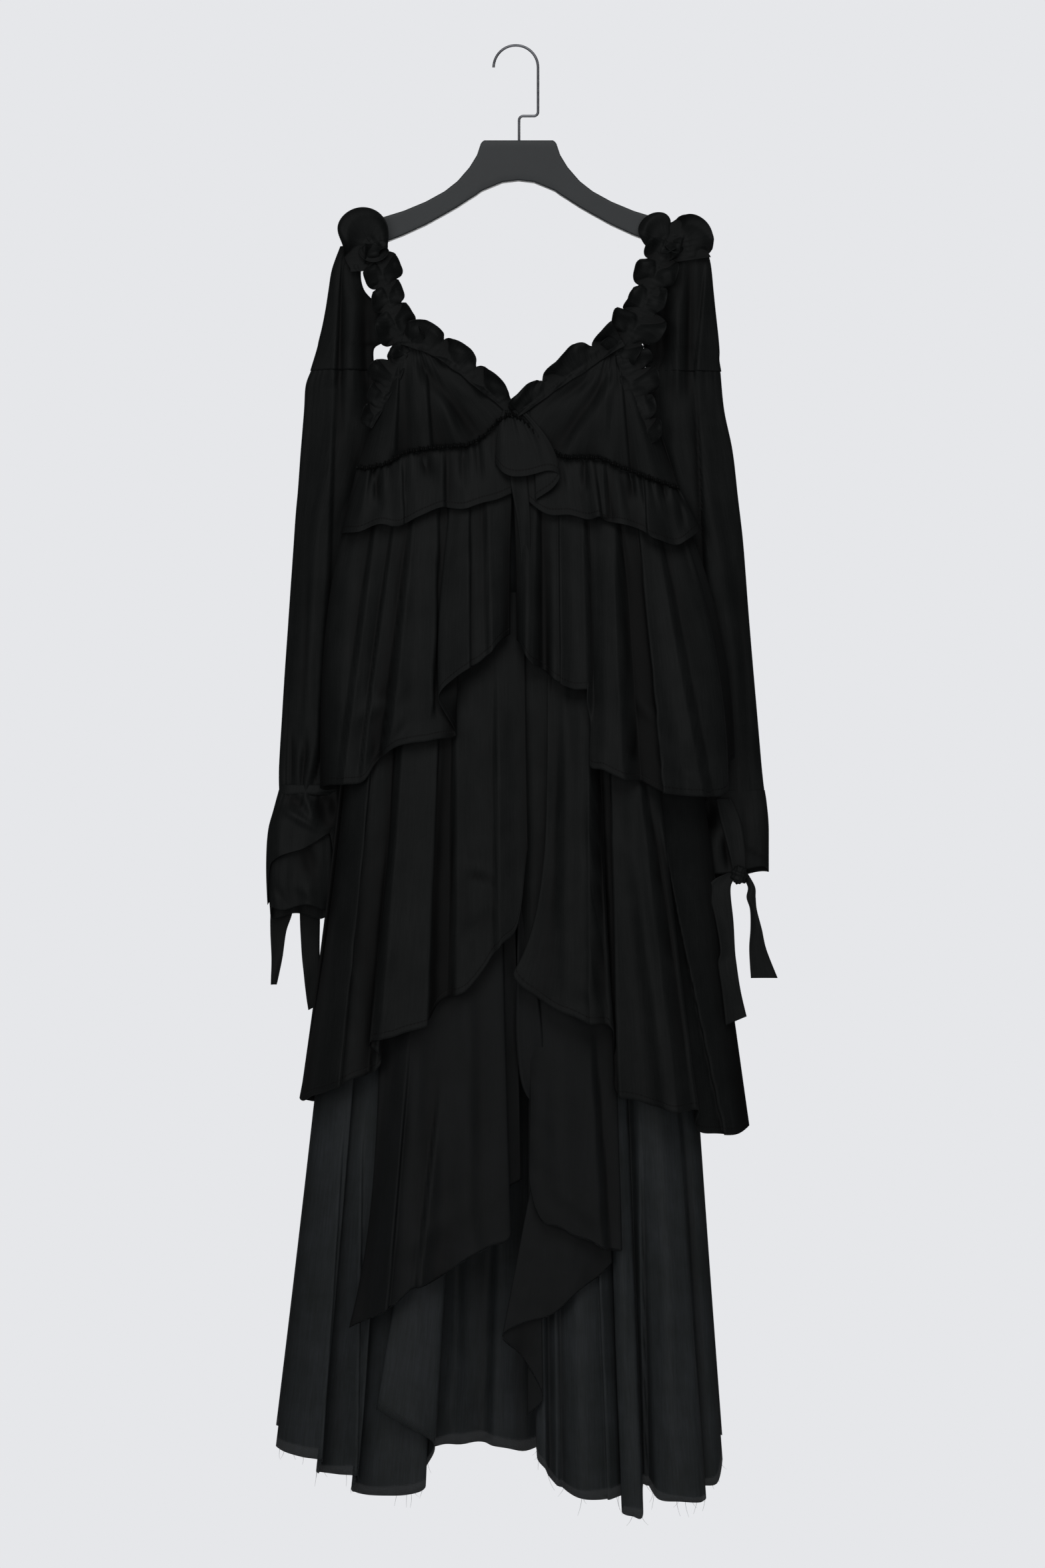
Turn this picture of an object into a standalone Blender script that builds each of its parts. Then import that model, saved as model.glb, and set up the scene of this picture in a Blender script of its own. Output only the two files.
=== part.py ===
"""A tiered ruffle dress hanging on a flat clothes hanger.

The origin is the inner top of the hanger's hook, where the nail or rail carries it.
+X is the viewer's right, -Y is the front of the dress and +Z is up. The tables are in
millimetres: x from the hook, drop below the hook's inner top, and out, the distance
in front of the hanger's middle plane, or behind it on the pieces of the back.
Every piece of cloth is a wall round a middle surface, worked out from its folds.
"""
import math
from collections import namedtuple

import bmesh
import bpy
from mathutils import Vector

MM = 0.001
WALL = 1.6            # thickness of the cloth with its hems and gathers
SEW_CLEAR = 1.2       # a piece ends this far above the seam line that it is sewn to
SIDE_OUT = 0.95       # middle of a wall that meets its other half at the side seam
FRONT = -1
BACK = 1

Fold = namedtuple("Fold", "seam_x hem_x hem_drop out")
Ring = namedtuple("Ring", "drop outer_x inner_x back depth fold")
Edge = namedtuple("Edge", "x drop out height")
Tape = namedtuple("Tape", "x drop back half slope", defaults=(0.0,))
Layer = namedtuple("Layer", "out left right power")

for startup in list(bpy.data.objects):
    bpy.data.objects.remove(startup, do_unlink=True)


def spot(x, drop, back):
    """A point in metres from x, drop and the distance behind the hanger's plane."""
    return Vector((x * MM, back * MM, -drop * MM))


def blend(a, b, share):
    return a + (b - a) * share


def smooth(rows, steps):
    """The rows of a table, read along a Catmull-Rom curve with steps to a stretch."""
    kind = type(rows[0])
    result = []
    for i in range(len(rows) - 1):
        before, start, end, after = (rows[max(i - 1, 0)], rows[i], rows[i + 1],
                                     rows[min(i + 2, len(rows) - 1)])
        for step in range(steps):
            t = step / steps
            result.append(kind(*(
                0.5 * (2 * b + (c - a) * t + (2 * a - 5 * b + 4 * c - d) * t * t
                       + (3 * b - a - 3 * c + d) * t ** 3)
                for a, b, c, d in zip(before, start, end, after))))
    result.append(rows[-1])
    return result


def read_line(points, x):
    """The drop of a line of (x, drop) points at x."""
    if x <= points[0][0]:
        return points[0][1]
    for (x0, drop0), (x1, drop1) in zip(points, points[1:]):
        if x <= x1:
            return blend(drop0, drop1, (x - x0) / (x1 - x0))
    return points[-1][1]


def fabric(name, colour, roughness, sheen):
    material = bpy.data.materials.new(name)
    material.use_nodes = True
    shader = material.node_tree.nodes["Principled BSDF"]
    shader.inputs["Base Color"].default_value = (*colour, 1.0)
    shader.inputs["Roughness"].default_value = roughness
    shader.inputs["Sheen Weight"].default_value = sheen
    return material


CREPE = fabric("black_crepe", (0.012, 0.012, 0.013), 0.62, 0.25)
CHIFFON = fabric("blue_black_chiffon", (0.010, 0.012, 0.015), 0.70, 0.20)
BOARD = fabric("charcoal_board", (0.035, 0.038, 0.043), 0.55, 0.0)
WIRE = fabric("gunmetal_wire", (0.20, 0.20, 0.21), 0.35, 0.0)
WIRE.node_tree.nodes["Principled BSDF"].inputs["Metallic"].default_value = 1.0


def place_mesh(name, mesh, material):
    piece = bpy.data.objects.new(name, mesh)
    bpy.context.collection.objects.link(piece)
    mesh.materials.append(material)
    return piece


def cloth(name, grid, material, tube=False, wall=WALL):
    """A closed wall of cloth round a grid of points, each row running across."""
    shape = bmesh.new()
    rows = [[shape.verts.new(point) for point in row] for row in grid]
    for upper, lower in zip(rows, rows[1:]):
        across = len(upper)
        for i in range(across if tube else across - 1):
            j = (i + 1) % across
            shape.faces.new((upper[i], lower[i], lower[j], upper[j]))
    mesh = bpy.data.meshes.new(name)
    shape.to_mesh(mesh)
    shape.free()
    mesh.shade_smooth()
    piece = place_mesh(name, mesh, material)
    thick = piece.modifiers.new("Wall", "SOLIDIFY")
    thick.thickness = wall * MM
    thick.offset = 0.0
    return piece


def early(v):
    """Flares just below the seam and then hangs straight."""
    return 1 - (1 - v) ** 3


def soon(v):
    return 1 - (1 - v) ** 2


def steady(v):
    return v


def late(v):
    """Hangs straight below the seam and flares towards the hem."""
    return v ** 1.5


def skirt_fall(v):
    return v ** 1.25


FULLNESS = 0.4        # how much further the front stands out below the bust
FULL_FROM = 470.0
FULL_AT = 760.0


def fullness(drop, side):
    """The front of the skirt stands out fuller as it falls; the back hangs flat."""
    share = min(1.0, max(0.0, (drop - FULL_FROM) / (FULL_AT - FULL_FROM)))
    return 1 + FULLNESS * share * share * (3 - 2 * share) if side == FRONT else 1.0


def resting_out(x, layer):
    """How far out a layer of the flat-hanging body lies at its seam."""
    share = (2 * x - layer.left - layer.right) / (layer.right - layer.left)
    return SIDE_OUT + layer.out * max(0.0, 1 - abs(share) ** layer.power)


def hang_panel(name, folds, seam, layer, material, side=FRONT, fall=steady,
               puff=0.0, hem=None, steps=2, levels=5):
    """A panel gathered on its seam, whose folds open towards the hem.

    Each Fold gives where a crest or a hollow leaves the seam and where it reaches the
    hem. Between them the cloth follows a smooth curve, and puff swells its middle.
    """
    columns = smooth(folds, steps)
    last = len(columns) - 1
    grid = []
    for level in range(levels + 1):
        v = level / levels
        row = []
        for i, fold in enumerate(columns):
            start = seam(fold.seam_x)
            end = hem(fold.hem_x) if hem else fold.hem_drop
            rest = resting_out(fold.seam_x, layer)
            swell = puff * math.sin(math.pi * v) * math.sin(math.pi * i / last)
            drop = blend(start, end, v)
            out = blend(rest, fold.out, v) + swell - SIDE_OUT
            row.append(spot(blend(fold.seam_x, fold.hem_x, fall(v)), drop,
                            side * (SIDE_OUT + out * fullness(drop, side))))
        grid.append(row)
    return cloth(name, grid, material)


def even_folds(seam_x, hem_x, hem_drop, low, high, waves, side_out=SIDE_OUT):
    """Folds of a hidden back: crests and hollows in turn, of uneven depth."""
    count = 2 * waves
    folds = [Fold(seam_x[0], hem_x[0], hem_drop[0], side_out)]
    for i in range(1, count):
        share = (i + 0.22 * math.sin(2.3 * i)) / count
        depth = low if i % 2 else high - 0.3 * (high - low) * abs(math.sin(1.7 * i))
        folds.append(Fold(blend(*seam_x, share), blend(*hem_x, share),
                          blend(*hem_drop, share) + 5 * math.sin(1.9 * i), depth))
    folds.append(Fold(seam_x[1], hem_x[1], hem_drop[1], side_out))
    return folds


def tube(name, rings, material, folds=5, tilt=0.0, around=18):
    """A sleeve or a frill: flattened rings, folded lengthwise, open at both ends."""
    grid = []
    for i, ring in enumerate(rings):
        hem_share = i / (len(rings) - 1)
        middle = (ring.outer_x + ring.inner_x) / 2
        half = abs(ring.outer_x - ring.inner_x) / 2 - WALL / 2
        towards = 1 if ring.outer_x > ring.inner_x else -1
        row = []
        for k in range(around):
            turn = 2 * math.pi * k / around
            wave = ring.fold * math.cos(folds * turn)
            reach = half + 0.3 * wave * abs(math.cos(turn))
            row.append(spot(middle + reach * math.cos(turn),
                            ring.drop - towards * tilt * hem_share * math.cos(turn),
                            ring.back + (ring.depth / 2 + wave) * math.sin(turn)))
        grid.append(row)
    return cloth(name, grid, material, tube=True)


RIPPLE = 0.16         # share of its height by which a ruffle's free edge rises and dips


def path_frame(rows, i):
    """The unit direction across a path in the front plane, at its row i."""
    ahead, behind = rows[min(i + 1, len(rows) - 1)], rows[max(i - 1, 0)]
    run_x, run_drop = ahead.x - behind.x, ahead.drop - behind.drop
    length = math.hypot(run_x, run_drop) or 1.0
    return run_drop / length, -run_x / length


def frill(name, edges, waves, swing, turn, material, steps=5, levels=2):
    """A ruffle that stands on one sewn edge and waves along its free edge."""
    rows = smooth(edges, steps)
    grid = []
    for level in range(levels + 1):
        v = level / levels
        row = []
        for i, edge in enumerate(rows):
            share = i / (len(rows) - 1)
            across_x, across_drop = path_frame(rows, i)
            phase = 2 * math.pi * waves * share + 0.5 * math.sin(5 * share)
            reach = turn * edge.height * v * (1 + RIPPLE * math.sin(phase + 1.2))
            forward = edge.out + v * swing * (0.5 + 0.5 * math.sin(phase))
            row.append(spot(edge.x + across_x * reach, edge.drop + across_drop * reach,
                            -forward))
        grid.append(row)
    return cloth(name, grid, material)


def band_ruffle(name, edges, waves, swing, material, steps=5, across=4):
    """A ruffle sewn down its middle, whose two free edges wave."""
    rows = smooth(edges, steps)
    grid = []
    for k in range(across + 1):
        v = 2 * k / across - 1
        row = []
        for i, edge in enumerate(rows):
            share = i / (len(rows) - 1)
            across_x, across_drop = path_frame(rows, i)
            phase = 2 * math.pi * waves * share + 1.4 * v
            forward = edge.out + abs(v) * swing * (0.5 + 0.5 * math.sin(phase))
            reach = edge.height * v * (1 + RIPPLE * math.sin(phase + 1.2))
            row.append(spot(edge.x + across_x * reach, edge.drop + across_drop * reach,
                            -forward))
        grid.append(row)
    return cloth(name, grid, material)


def ribbon(name, tapes, material, steps=2, wall=WALL):
    """A flat strap or tie, with its width across x, tilted by its slope."""
    grid = [[spot(row.x + row.half * side, row.drop + row.half * row.slope * side, row.back)
             for side in (-1, 0, 1)] for row in smooth(tapes, steps)]
    return cloth(name, grid, material, wall=wall)


# The hanger: a flat moulded board with a raised middle and a stepped wire hook.
HANGER_MIDDLE = 3.0
HANGER_DEPTH = 12.0
HANGER_EDGE = 2.0
HANGER_TOP = ((0, 102), (39, 102), (45, 118), (53, 131), (66, 146), (80, 157),
              (100, 168), (124, 178), (150, 186), (166, 193), (172, 201))
HANGER_UNDERSIDE = ((171, 214), (163, 218), (136, 210), (106, 196), (86, 186), (66, 174),
                    (38, 156), (17, 147), (0, 145))


def build_hanger():
    half = [(x, drop) for x, drop in HANGER_TOP + HANGER_UNDERSIDE]
    mirrored = [(-x, drop) for x, drop in reversed(half) if x > 0]
    shape = bmesh.new()
    outline = [shape.verts.new(spot(HANGER_MIDDLE + x, drop, -HANGER_DEPTH / 2))
               for x, drop in half + mirrored]
    face = shape.faces.new(outline)
    pushed = bmesh.ops.extrude_face_region(shape, geom=[face])
    moved = [item for item in pushed["geom"] if isinstance(item, bmesh.types.BMVert)]
    bmesh.ops.translate(shape, verts=moved, vec=(0, HANGER_DEPTH * MM, 0))
    bmesh.ops.recalc_face_normals(shape, faces=shape.faces)
    mesh = bpy.data.meshes.new("hanger_body")
    shape.to_mesh(mesh)
    shape.free()
    piece = place_mesh("hanger_body", mesh, BOARD)
    edge = piece.modifiers.new("Edge", "BEVEL")
    edge.width = HANGER_EDGE * MM
    edge.segments = 2
    edge.limit_method = "ANGLE"
    edge.angle_limit = math.radians(60)


WIRE_RADIUS = 1.4
HOOK_BEND = 24.0      # radius of the hook's bow, to the middle of the wire
HOOK_STEM_X = 3.5
HOOK_SHOULDER = 75.0  # drop of the short level stretch


def build_hook():
    bow_drop = HOOK_BEND - WIRE_RADIUS
    points = []
    for k in range(13):
        turn = math.pi * k / 12
        points.append((-HOOK_BEND * math.cos(turn), bow_drop - HOOK_BEND * math.sin(turn)))
    points += [(HOOK_BEND, drop) for drop in (34, 46, 58, 67)]
    points += [(HOOK_BEND - 1.5, 72.5), (HOOK_BEND - 6, HOOK_SHOULDER)]
    points += [(HOOK_STEM_X + 7, HOOK_SHOULDER + 0.5), (HOOK_STEM_X + 2, HOOK_SHOULDER + 3)]
    points += [(HOOK_STEM_X, drop) for drop in (HOOK_SHOULDER + 8, 92, 101.7)]
    curve = bpy.data.curves.new("hanger_hook", "CURVE")
    curve.dimensions = "3D"
    line = curve.splines.new("POLY")
    line.points.add(len(points) - 1)
    for point, (x, drop) in zip(line.points, points):
        point.co = (*spot(x, drop, 0), 1.0)
    curve.bevel_depth = WIRE_RADIUS * MM
    curve.bevel_resolution = 2
    curve.use_fill_caps = True
    curve.materials.append(WIRE)
    piece = bpy.data.objects.new("hanger_hook", curve)
    bpy.context.collection.objects.link(piece)


# The bodice: two cups gathered on the underbust seam, a low back and two straps.
SEAM = ((-171, 454), (-162, 456), (-140, 452), (-119, 439), (-83, 434), (-51, 432),
        (-33, 421), (-19, 405), (-4, 398), (10, 407), (32, 434), (53, 445), (89, 445),
        (117, 457), (153, 470), (176, 477))
BACK_SEAM = ((-171, 454), (176, 477))
CUP_PUFF = 9.0

CUP_LEFT = (Fold(-126, -171, 453, 0.95), Fold(-122, -160, 455, 6), Fold(-118, -140, 451, 12),
            Fold(-114, -119, 438, 9), Fold(-110, -99, 436, 13), Fold(-106, -79, 433, 10),
            Fold(-102, -58, 431, 13), Fold(-98, -38, 423, 10), Fold(-94, -20, 405, 12),
            Fold(-90, -3, 397, 11))
CUP_RIGHT = (Fold(84, 1, 397, 11), Fold(88, 18, 415, 12), Fold(92, 36, 436, 10),
             Fold(96, 56, 444, 13), Fold(100, 78, 444, 10), Fold(104, 100, 449, 13),
             Fold(108, 122, 458, 9), Fold(112, 146, 467, 12), Fold(116, 165, 473, 6),
             Fold(120, 176, 476, 0.95))
APEX_DROP = {"left": 325.0, "right": 335.0}
APEX_OUT = 10.5
BACK_TOP = 407.0
BACK_LAYER = Layer(9.0, -152, 154, 8)

STRAP_WALL = 1.4
STRAP_HALF = 5.0
STRAP_BEHIND = {"left": (Tape(-112, 411, 7.2, 5), Tape(-116, 345, 9.0, 5),
                         Tape(-128, 300, 8.8, 5), Tape(-141, 250, 8.2, 5),
                         Tape(-151, 216, 7.6, 5)),
                "right": (Tape(106, 411, 7.2, 5), Tape(110, 352, 9.0, 5),
                          Tape(129, 300, 8.8, 5), Tape(145, 250, 8.2, 5),
                          Tape(157, 216, 7.6, 5))}
STRAP_FRONT = {"left": (Tape(-151, 216, -7.6, 5), Tape(-143, 240, -8.0, 5),
                        Tape(-134, 274, -8.4, 5), Tape(-127, 300, -8.5, 5),
                        Tape(-115, 331, -8.7, 5)),
               "right": (Tape(157, 216, -7.6, 5), Tape(148, 240, -8.0, 5),
                         Tape(137, 269, -8.4, 5), Tape(129, 295, -8.5, 5),
                         Tape(110, 341, -8.7, 5))}
STRAP_REST = {"left": -154.0, "right": 160.0}      # where each strap crosses its arm
ARM_SLOPE = 0.44
ARM_DROP = 189.1
OVER_ARM = ((9.0, 7.3), (2.8, 7.2), (-0.2, 6.1), (-1.2, 4.0), (-1.2, 0.0), (-1.2, -4.0),
            (-0.2, -6.1), (2.8, -7.2), (9.0, -7.3))   # drop below the arm's top, and back


def seam_line(x):
    return read_line(SEAM, x)


def back_seam_line(x):
    return read_line(BACK_SEAM, x)


def build_bodice():
    for side, folds in (("left", CUP_LEFT), ("right", CUP_RIGHT)):
        ends = sorted((folds[0].seam_x, folds[-1].seam_x))
        apex = Layer(APEX_OUT - SIDE_OUT, ends[0] - 30, ends[1] + 30, 8)
        hang_panel(f"cup_{side}", folds, lambda x, side=side: APEX_DROP[side], apex, CREPE,
                   puff=CUP_PUFF, hem=lambda x: seam_line(x) - SEW_CLEAR)
    rows = even_folds((-152, 154), (-171, 176), (453, 476), 9, 12, 6)
    hang_panel("bodice_back", rows, lambda x: BACK_TOP, BACK_LAYER, CREPE, side=BACK,
               hem=lambda x: back_seam_line(x) - SEW_CLEAR, levels=2)
    for side, slope in (("left", -ARM_SLOPE), ("right", ARM_SLOPE)):
        over = tuple(Tape(STRAP_REST[side], ARM_DROP + drop, back, STRAP_HALF, slope)
                     for drop, back in OVER_ARM)
        ribbon(f"strap_{side}", STRAP_BEHIND[side] + over + STRAP_FRONT[side], CREPE,
               steps=1, wall=STRAP_WALL)


# Ruffles on the bodice: down the straps, on the shoulders, along the neckline and
# round the front of each armhole.
STRAP_RUFFLES = {
    "left": (Edge(-149, 228, 10.4, 12), Edge(-140, 248, 10.6, 15), Edge(-133, 276, 10.8, 16),
             Edge(-127, 300, 10.8, 15), Edge(-118, 318, 10.8, 13)),
    "right": (Edge(156, 228, 10.4, 12), Edge(146, 245, 10.6, 16), Edge(137, 269, 10.8, 17),
              Edge(129, 295, 10.8, 16), Edge(114, 327, 10.8, 13))}
SHOULDER_RUFFLES = {
    "left": (Edge(-176, 240, 9.9, 10), Edge(-170, 217, 10.2, 16), Edge(-163, 202, 10.4, 25),
             Edge(-154, 206, 10.4, 16), Edge(-153, 224, 10.4, 9)),
    "right": (Edge(152, 222, 10.4, 11), Edge(155, 207, 10.4, 16), Edge(165, 199, 10.4, 21),
              Edge(176, 205, 10.4, 33), Edge(177, 236, 10.0, 26))}
NECK_RUFFLES = {
    "left": (Edge(-104, 318, 14, 14), Edge(-90, 324, 14, 18), Edge(-60, 344, 15.5, 19),
             Edge(-34, 367, 15.5, 18), Edge(-8, 393, 13, 17)),
    "right": (Edge(5, 394, 13, 15), Edge(26, 376, 15.5, 18), Edge(52, 357, 15.5, 19),
              Edge(80, 338, 14, 20), Edge(96, 328, 14, 16))}
ARMHOLE_RUFFLES = {
    "left": (Edge(-125, 334, 12.8, 8), Edge(-134, 362, 13.8, 17), Edge(-148, 390, 12.8, 16),
             Edge(-163, 412, 9.8, 8)),
    "right": (Edge(119, 338, 12.6, 8), Edge(125, 362, 14.5, 18), Edge(138, 402, 15.5, 18),
              Edge(152, 436, 13.5, 8))}


def build_bodice_ruffles():
    for side, turn in (("left", 1), ("right", -1)):
        band_ruffle(f"strap_ruffle_{side}", STRAP_RUFFLES[side], 3, 8, CREPE)
        frill(f"shoulder_ruffle_{side}", SHOULDER_RUFFLES[side], 4, 9, 1, CREPE)
        frill(f"neck_ruffle_{side}", NECK_RUFFLES[side], 4, 9, 1, CREPE)
        frill(f"armhole_ruffle_{side}", ARMHOLE_RUFFLES[side], 3, 7, -turn, CREPE)


# The underbust ruffle, with the small cascade at its centre.
BUST_LAYER = Layer(11.0, -171, 176, 8)
BUST_LEFT = (Fold(-171, -189, 526, 0.95), Fold(-168, -187, 526, 8), Fold(-162, -178, 522, 19),
             Fold(-150, -162, 519, 27), Fold(-136, -144, 517, 22), Fold(-122, -126, 516, 30),
             Fold(-108, -110, 509, 23), Fold(-94, -95, 504, 31), Fold(-80, -82, 499, 23),
             Fold(-66, -64, 498, 30), Fold(-50, -45, 496, 23), Fold(-30, -22, 489, 28),
             Fold(-6, -4, 483, 22))
BUST_RIGHT = (Fold(-1, 4, 484, 20), Fold(14, 18, 494, 28), Fold(30, 36, 504, 23),
              Fold(46, 52, 507, 31), Fold(62, 68, 509, 23), Fold(78, 88, 508, 32),
              Fold(92, 97, 513, 24), Fold(106, 112, 517, 31), Fold(122, 134, 520, 24),
              Fold(138, 150, 531, 32), Fold(152, 168, 537, 24), Fold(164, 184, 533, 22),
              Fold(172, 197, 524, 9), Fold(176, 200, 520, 0.95))
KNOT_TOP = 401.0
KNOT_LAYER = Layer(13.3, -60, 60, 8)
BUST_CASCADE = (Fold(-14, -22, 452, 24), Fold(-8, -8, 461, 32), Fold(-2, 8, 467, 37),
                Fold(5, 22, 487, 36), Fold(11, 36, 468, 34), Fold(17, 48, 462, 31))


def build_bust_ruffle():
    hang_panel("bust_ruffle_left", BUST_LEFT, seam_line, BUST_LAYER, CREPE, levels=3)
    hang_panel("bust_ruffle_right", BUST_RIGHT, seam_line, BUST_LAYER, CREPE, levels=3)
    rows = even_folds((-171, 176), (-189, 200), (526, 522), 18, 25, 8)
    hang_panel("bust_ruffle_back", rows, back_seam_line, BUST_LAYER, CREPE, side=BACK,
               levels=2)
    hang_panel("bust_cascade", BUST_CASCADE, lambda x: KNOT_TOP, KNOT_LAYER, CREPE, fall=soon,
               levels=4)


# The three tiers. Each is split at the centre front, where its hem rises.
TIER_ONE_LAYER = Layer(8.9, -164, 168, 6)
TIER_ONE_LEFT = (Fold(-164, -211, 800, 0.95), Fold(-157, -203, 798, 10), Fold(-146, -188, 796, 21),
                 Fold(-132, -165, 793, 30), Fold(-118, -144, 773, 28), Fold(-104, -124, 753, 38),
                 Fold(-88, -96, 750, 40), Fold(-74, -75, 741, 41), Fold(-62, -67, 702, 32),
                 Fold(-46, -54, 673, 35), Fold(-24, -26, 653, 38), Fold(-2, -6, 634, 27))
TIER_ONE_RIGHT = (Fold(1, 2, 645, 31), Fold(12, 16, 658, 33), Fold(24, 27, 674, 38),
                  Fold(38, 41, 686, 37), Fold(52, 58, 694, 33), Fold(64, 70, 698, 29),
                  Fold(74, 77, 734, 32), Fold(82, 84, 774, 40), Fold(94, 104, 783, 43),
                  Fold(106, 127, 795, 34), Fold(118, 148, 804, 37), Fold(132, 171, 806, 39),
                  Fold(146, 199, 809, 34), Fold(158, 226, 805, 22), Fold(164, 230, 779, 9),
                  Fold(168, 236, 767, 0.95))

TIER_TWO_TOP = 590.0
TIER_TWO_LEFT_LAYER = Layer(12.9, -174, 177, 8)
TIER_TWO_RIGHT_LAYER = Layer(12.3, -174, 177, 8)
TIER_TWO_BACK_LAYER = Layer(11.0, -174, 177, 8)
TIER_TWO_LEFT = (Fold(-174, -233, 1135, 0.95), Fold(-170, -225, 1139, 12),
                 Fold(-162, -210, 1131, 26), Fold(-150, -188, 1120, 38),
                 Fold(-136, -169, 1109, 38), Fold(-123, -158, 1101, 41),
                 Fold(-112, -150, 1077, 50), Fold(-96, -126, 1067, 52),
                 Fold(-78, -97, 1058, 49), Fold(-62, -76, 1034, 43), Fold(-44, -48, 1016, 42),
                 Fold(-26, -20, 974, 39), Fold(-9, 0, 946, 32), Fold(8, 9, 866, 24))
TIER_TWO_RIGHT = (Fold(11, 18, 960, 28), Fold(18, 22, 992, 33), Fold(27, 27, 1012, 38),
                  Fold(38, 35, 1033, 44), Fold(50, 50, 1042, 50), Fold(62, 70, 1052, 48),
                  Fold(74, 86, 1064, 45), Fold(84, 95, 1098, 39), Fold(94, 110, 1131, 39),
                  Fold(106, 134, 1139, 43), Fold(122, 164, 1148, 49), Fold(136, 184, 1150, 43),
                  Fold(146, 195, 1167, 31), Fold(157, 211, 1174, 20), Fold(170, 236, 1174, 9),
                  Fold(177, 252, 1165, 0.95))

TIER_THREE_TOP = 840.0
TIER_THREE_LEFT_LAYER = Layer(17.9, -200, 200, 8)
TIER_THREE_RIGHT_LAYER = Layer(17.0, -200, 200, 8)
TIER_THREE_BACK_LAYER = Layer(13.4, -200, 200, 8)
TIER_THREE_BACK_OUT = 22  # its side edges stand clear of tier two
TIER_THREE_LEFT = (Fold(-142, -177, 1385, 33), Fold(-130, -163, 1379, 38),
                   Fold(-116, -147, 1373, 42), Fold(-94, -118, 1349, 46),
                   Fold(-72, -82, 1331, 43), Fold(-50, -48, 1308, 46), Fold(-34, -26, 1296, 41),
                   Fold(-21, -12, 1284, 38), Fold(-11, -7, 1240, 32), Fold(-3, 0, 1224, 28))
TIER_THREE_RIGHT = (Fold(4, 7, 1073, 26), Fold(13, 13, 1131, 31), Fold(23, 19, 1215, 34),
                    Fold(35, 29, 1267, 40), Fold(52, 51, 1279, 44), Fold(72, 77, 1290, 40),
                    Fold(90, 101, 1298, 38), Fold(104, 113, 1301, 34))
CASCADE_TOP = 1100.0
CASCADE_LAYER = Layer(22.3, -120, 240, 8)
CASCADE = (Fold(15, -13, 1391, 31), Fold(24, 2, 1420, 35), Fold(33, 14, 1474, 32),
           Fold(43, 27, 1462, 36), Fold(54, 39, 1386, 34), Fold(66, 56, 1356, 37),
           Fold(80, 84, 1330, 32), Fold(94, 108, 1312, 29))


def build_tiers():
    hang_panel("tier_one_left", TIER_ONE_LEFT, seam_line, TIER_ONE_LAYER, CREPE, fall=early)
    hang_panel("tier_one_right", TIER_ONE_RIGHT, seam_line, TIER_ONE_LAYER, CREPE, fall=soon)
    hang_panel("tier_two_left", TIER_TWO_LEFT, lambda x: TIER_TWO_TOP, TIER_TWO_LEFT_LAYER,
               CREPE, fall=late)
    hang_panel("tier_two_right", TIER_TWO_RIGHT, lambda x: TIER_TWO_TOP,
               TIER_TWO_RIGHT_LAYER, CREPE, fall=late)
    hang_panel("tier_three_left", TIER_THREE_LEFT, lambda x: TIER_THREE_TOP,
               TIER_THREE_LEFT_LAYER, CHIFFON)
    hang_panel("tier_three_right", TIER_THREE_RIGHT, lambda x: TIER_THREE_TOP,
               TIER_THREE_RIGHT_LAYER, CHIFFON)
    hang_panel("tier_three_cascade", CASCADE, lambda x: CASCADE_TOP, CASCADE_LAYER,
               CHIFFON, levels=4)
    one = even_folds((-164, 168), (-211, 236), (800, 767), 22, 32, 7)
    hang_panel("tier_one_back", one, back_seam_line, TIER_ONE_LAYER, CREPE, side=BACK,
               fall=soon, levels=3)
    two = even_folds((-174, 177), (-233, 252), (1135, 1165), 29, 38, 7)
    hang_panel("tier_two_back", two, lambda x: TIER_TWO_TOP, TIER_TWO_BACK_LAYER,
               CREPE, side=BACK, fall=late, levels=3)
    three = even_folds((-160, 160), (-205, 190), (1372, 1380), 26, 34, 6,
                       side_out=TIER_THREE_BACK_OUT)
    hang_panel("tier_three_back", three, lambda x: TIER_THREE_TOP, TIER_THREE_BACK_LAYER,
               CHIFFON, side=BACK, levels=3)


# The base skirt under the tiers, open at the centre front.
SKIRT_LAYER = Layer(6.8, -157, 161, 4)
SKIRT_LEFT = (Fold(-157, -259, 1511, 0.95), Fold(-150, -248, 1518, 8), Fold(-140, -230, 1524, 18),
              Fold(-129, -214, 1527, 12), Fold(-118, -204, 1540, 20), Fold(-107, -190, 1542, 25),
              Fold(-96, -177, 1546, 14), Fold(-85, -164, 1561, 19), Fold(-74, -145, 1565, 24),
              Fold(-62, -124, 1563, 20), Fold(-50, -109, 1556, 14), Fold(-37, -101, 1540, 21),
              Fold(-21, -94, 1520, 28), Fold(-3, -89, 1508, 31))
SKIRT_RIGHT = (Fold(2, 22, 1512, 21), Fold(12, 34, 1541, 26), Fold(22, 51, 1548, 31),
               Fold(33, 63, 1565, 26), Fold(44, 80, 1569, 31), Fold(55, 98, 1567, 24),
               Fold(66, 115, 1565, 16), Fold(77, 122, 1583, 24), Fold(88, 131, 1584, 30),
               Fold(99, 139, 1560, 20), Fold(110, 152, 1570, 25), Fold(122, 177, 1570, 30),
               Fold(134, 200, 1570, 21), Fold(144, 206, 1554, 12), Fold(153, 216, 1552, 6),
               Fold(161, 223, 1526, 0.95))


def build_skirt():
    hang_panel("skirt_front_left", SKIRT_LEFT, seam_line, SKIRT_LAYER, CHIFFON,
               fall=skirt_fall, levels=6)
    hang_panel("skirt_front_right", SKIRT_RIGHT, seam_line, SKIRT_LAYER, CHIFFON,
               fall=skirt_fall, levels=6)
    rows = even_folds((-157, 161), (-259, 223), (1511, 1526), 10, 22, 8)
    hang_panel("skirt_back", rows, back_seam_line, SKIRT_LAYER, CHIFFON, side=BACK,
               fall=skirt_fall, levels=5)


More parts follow.
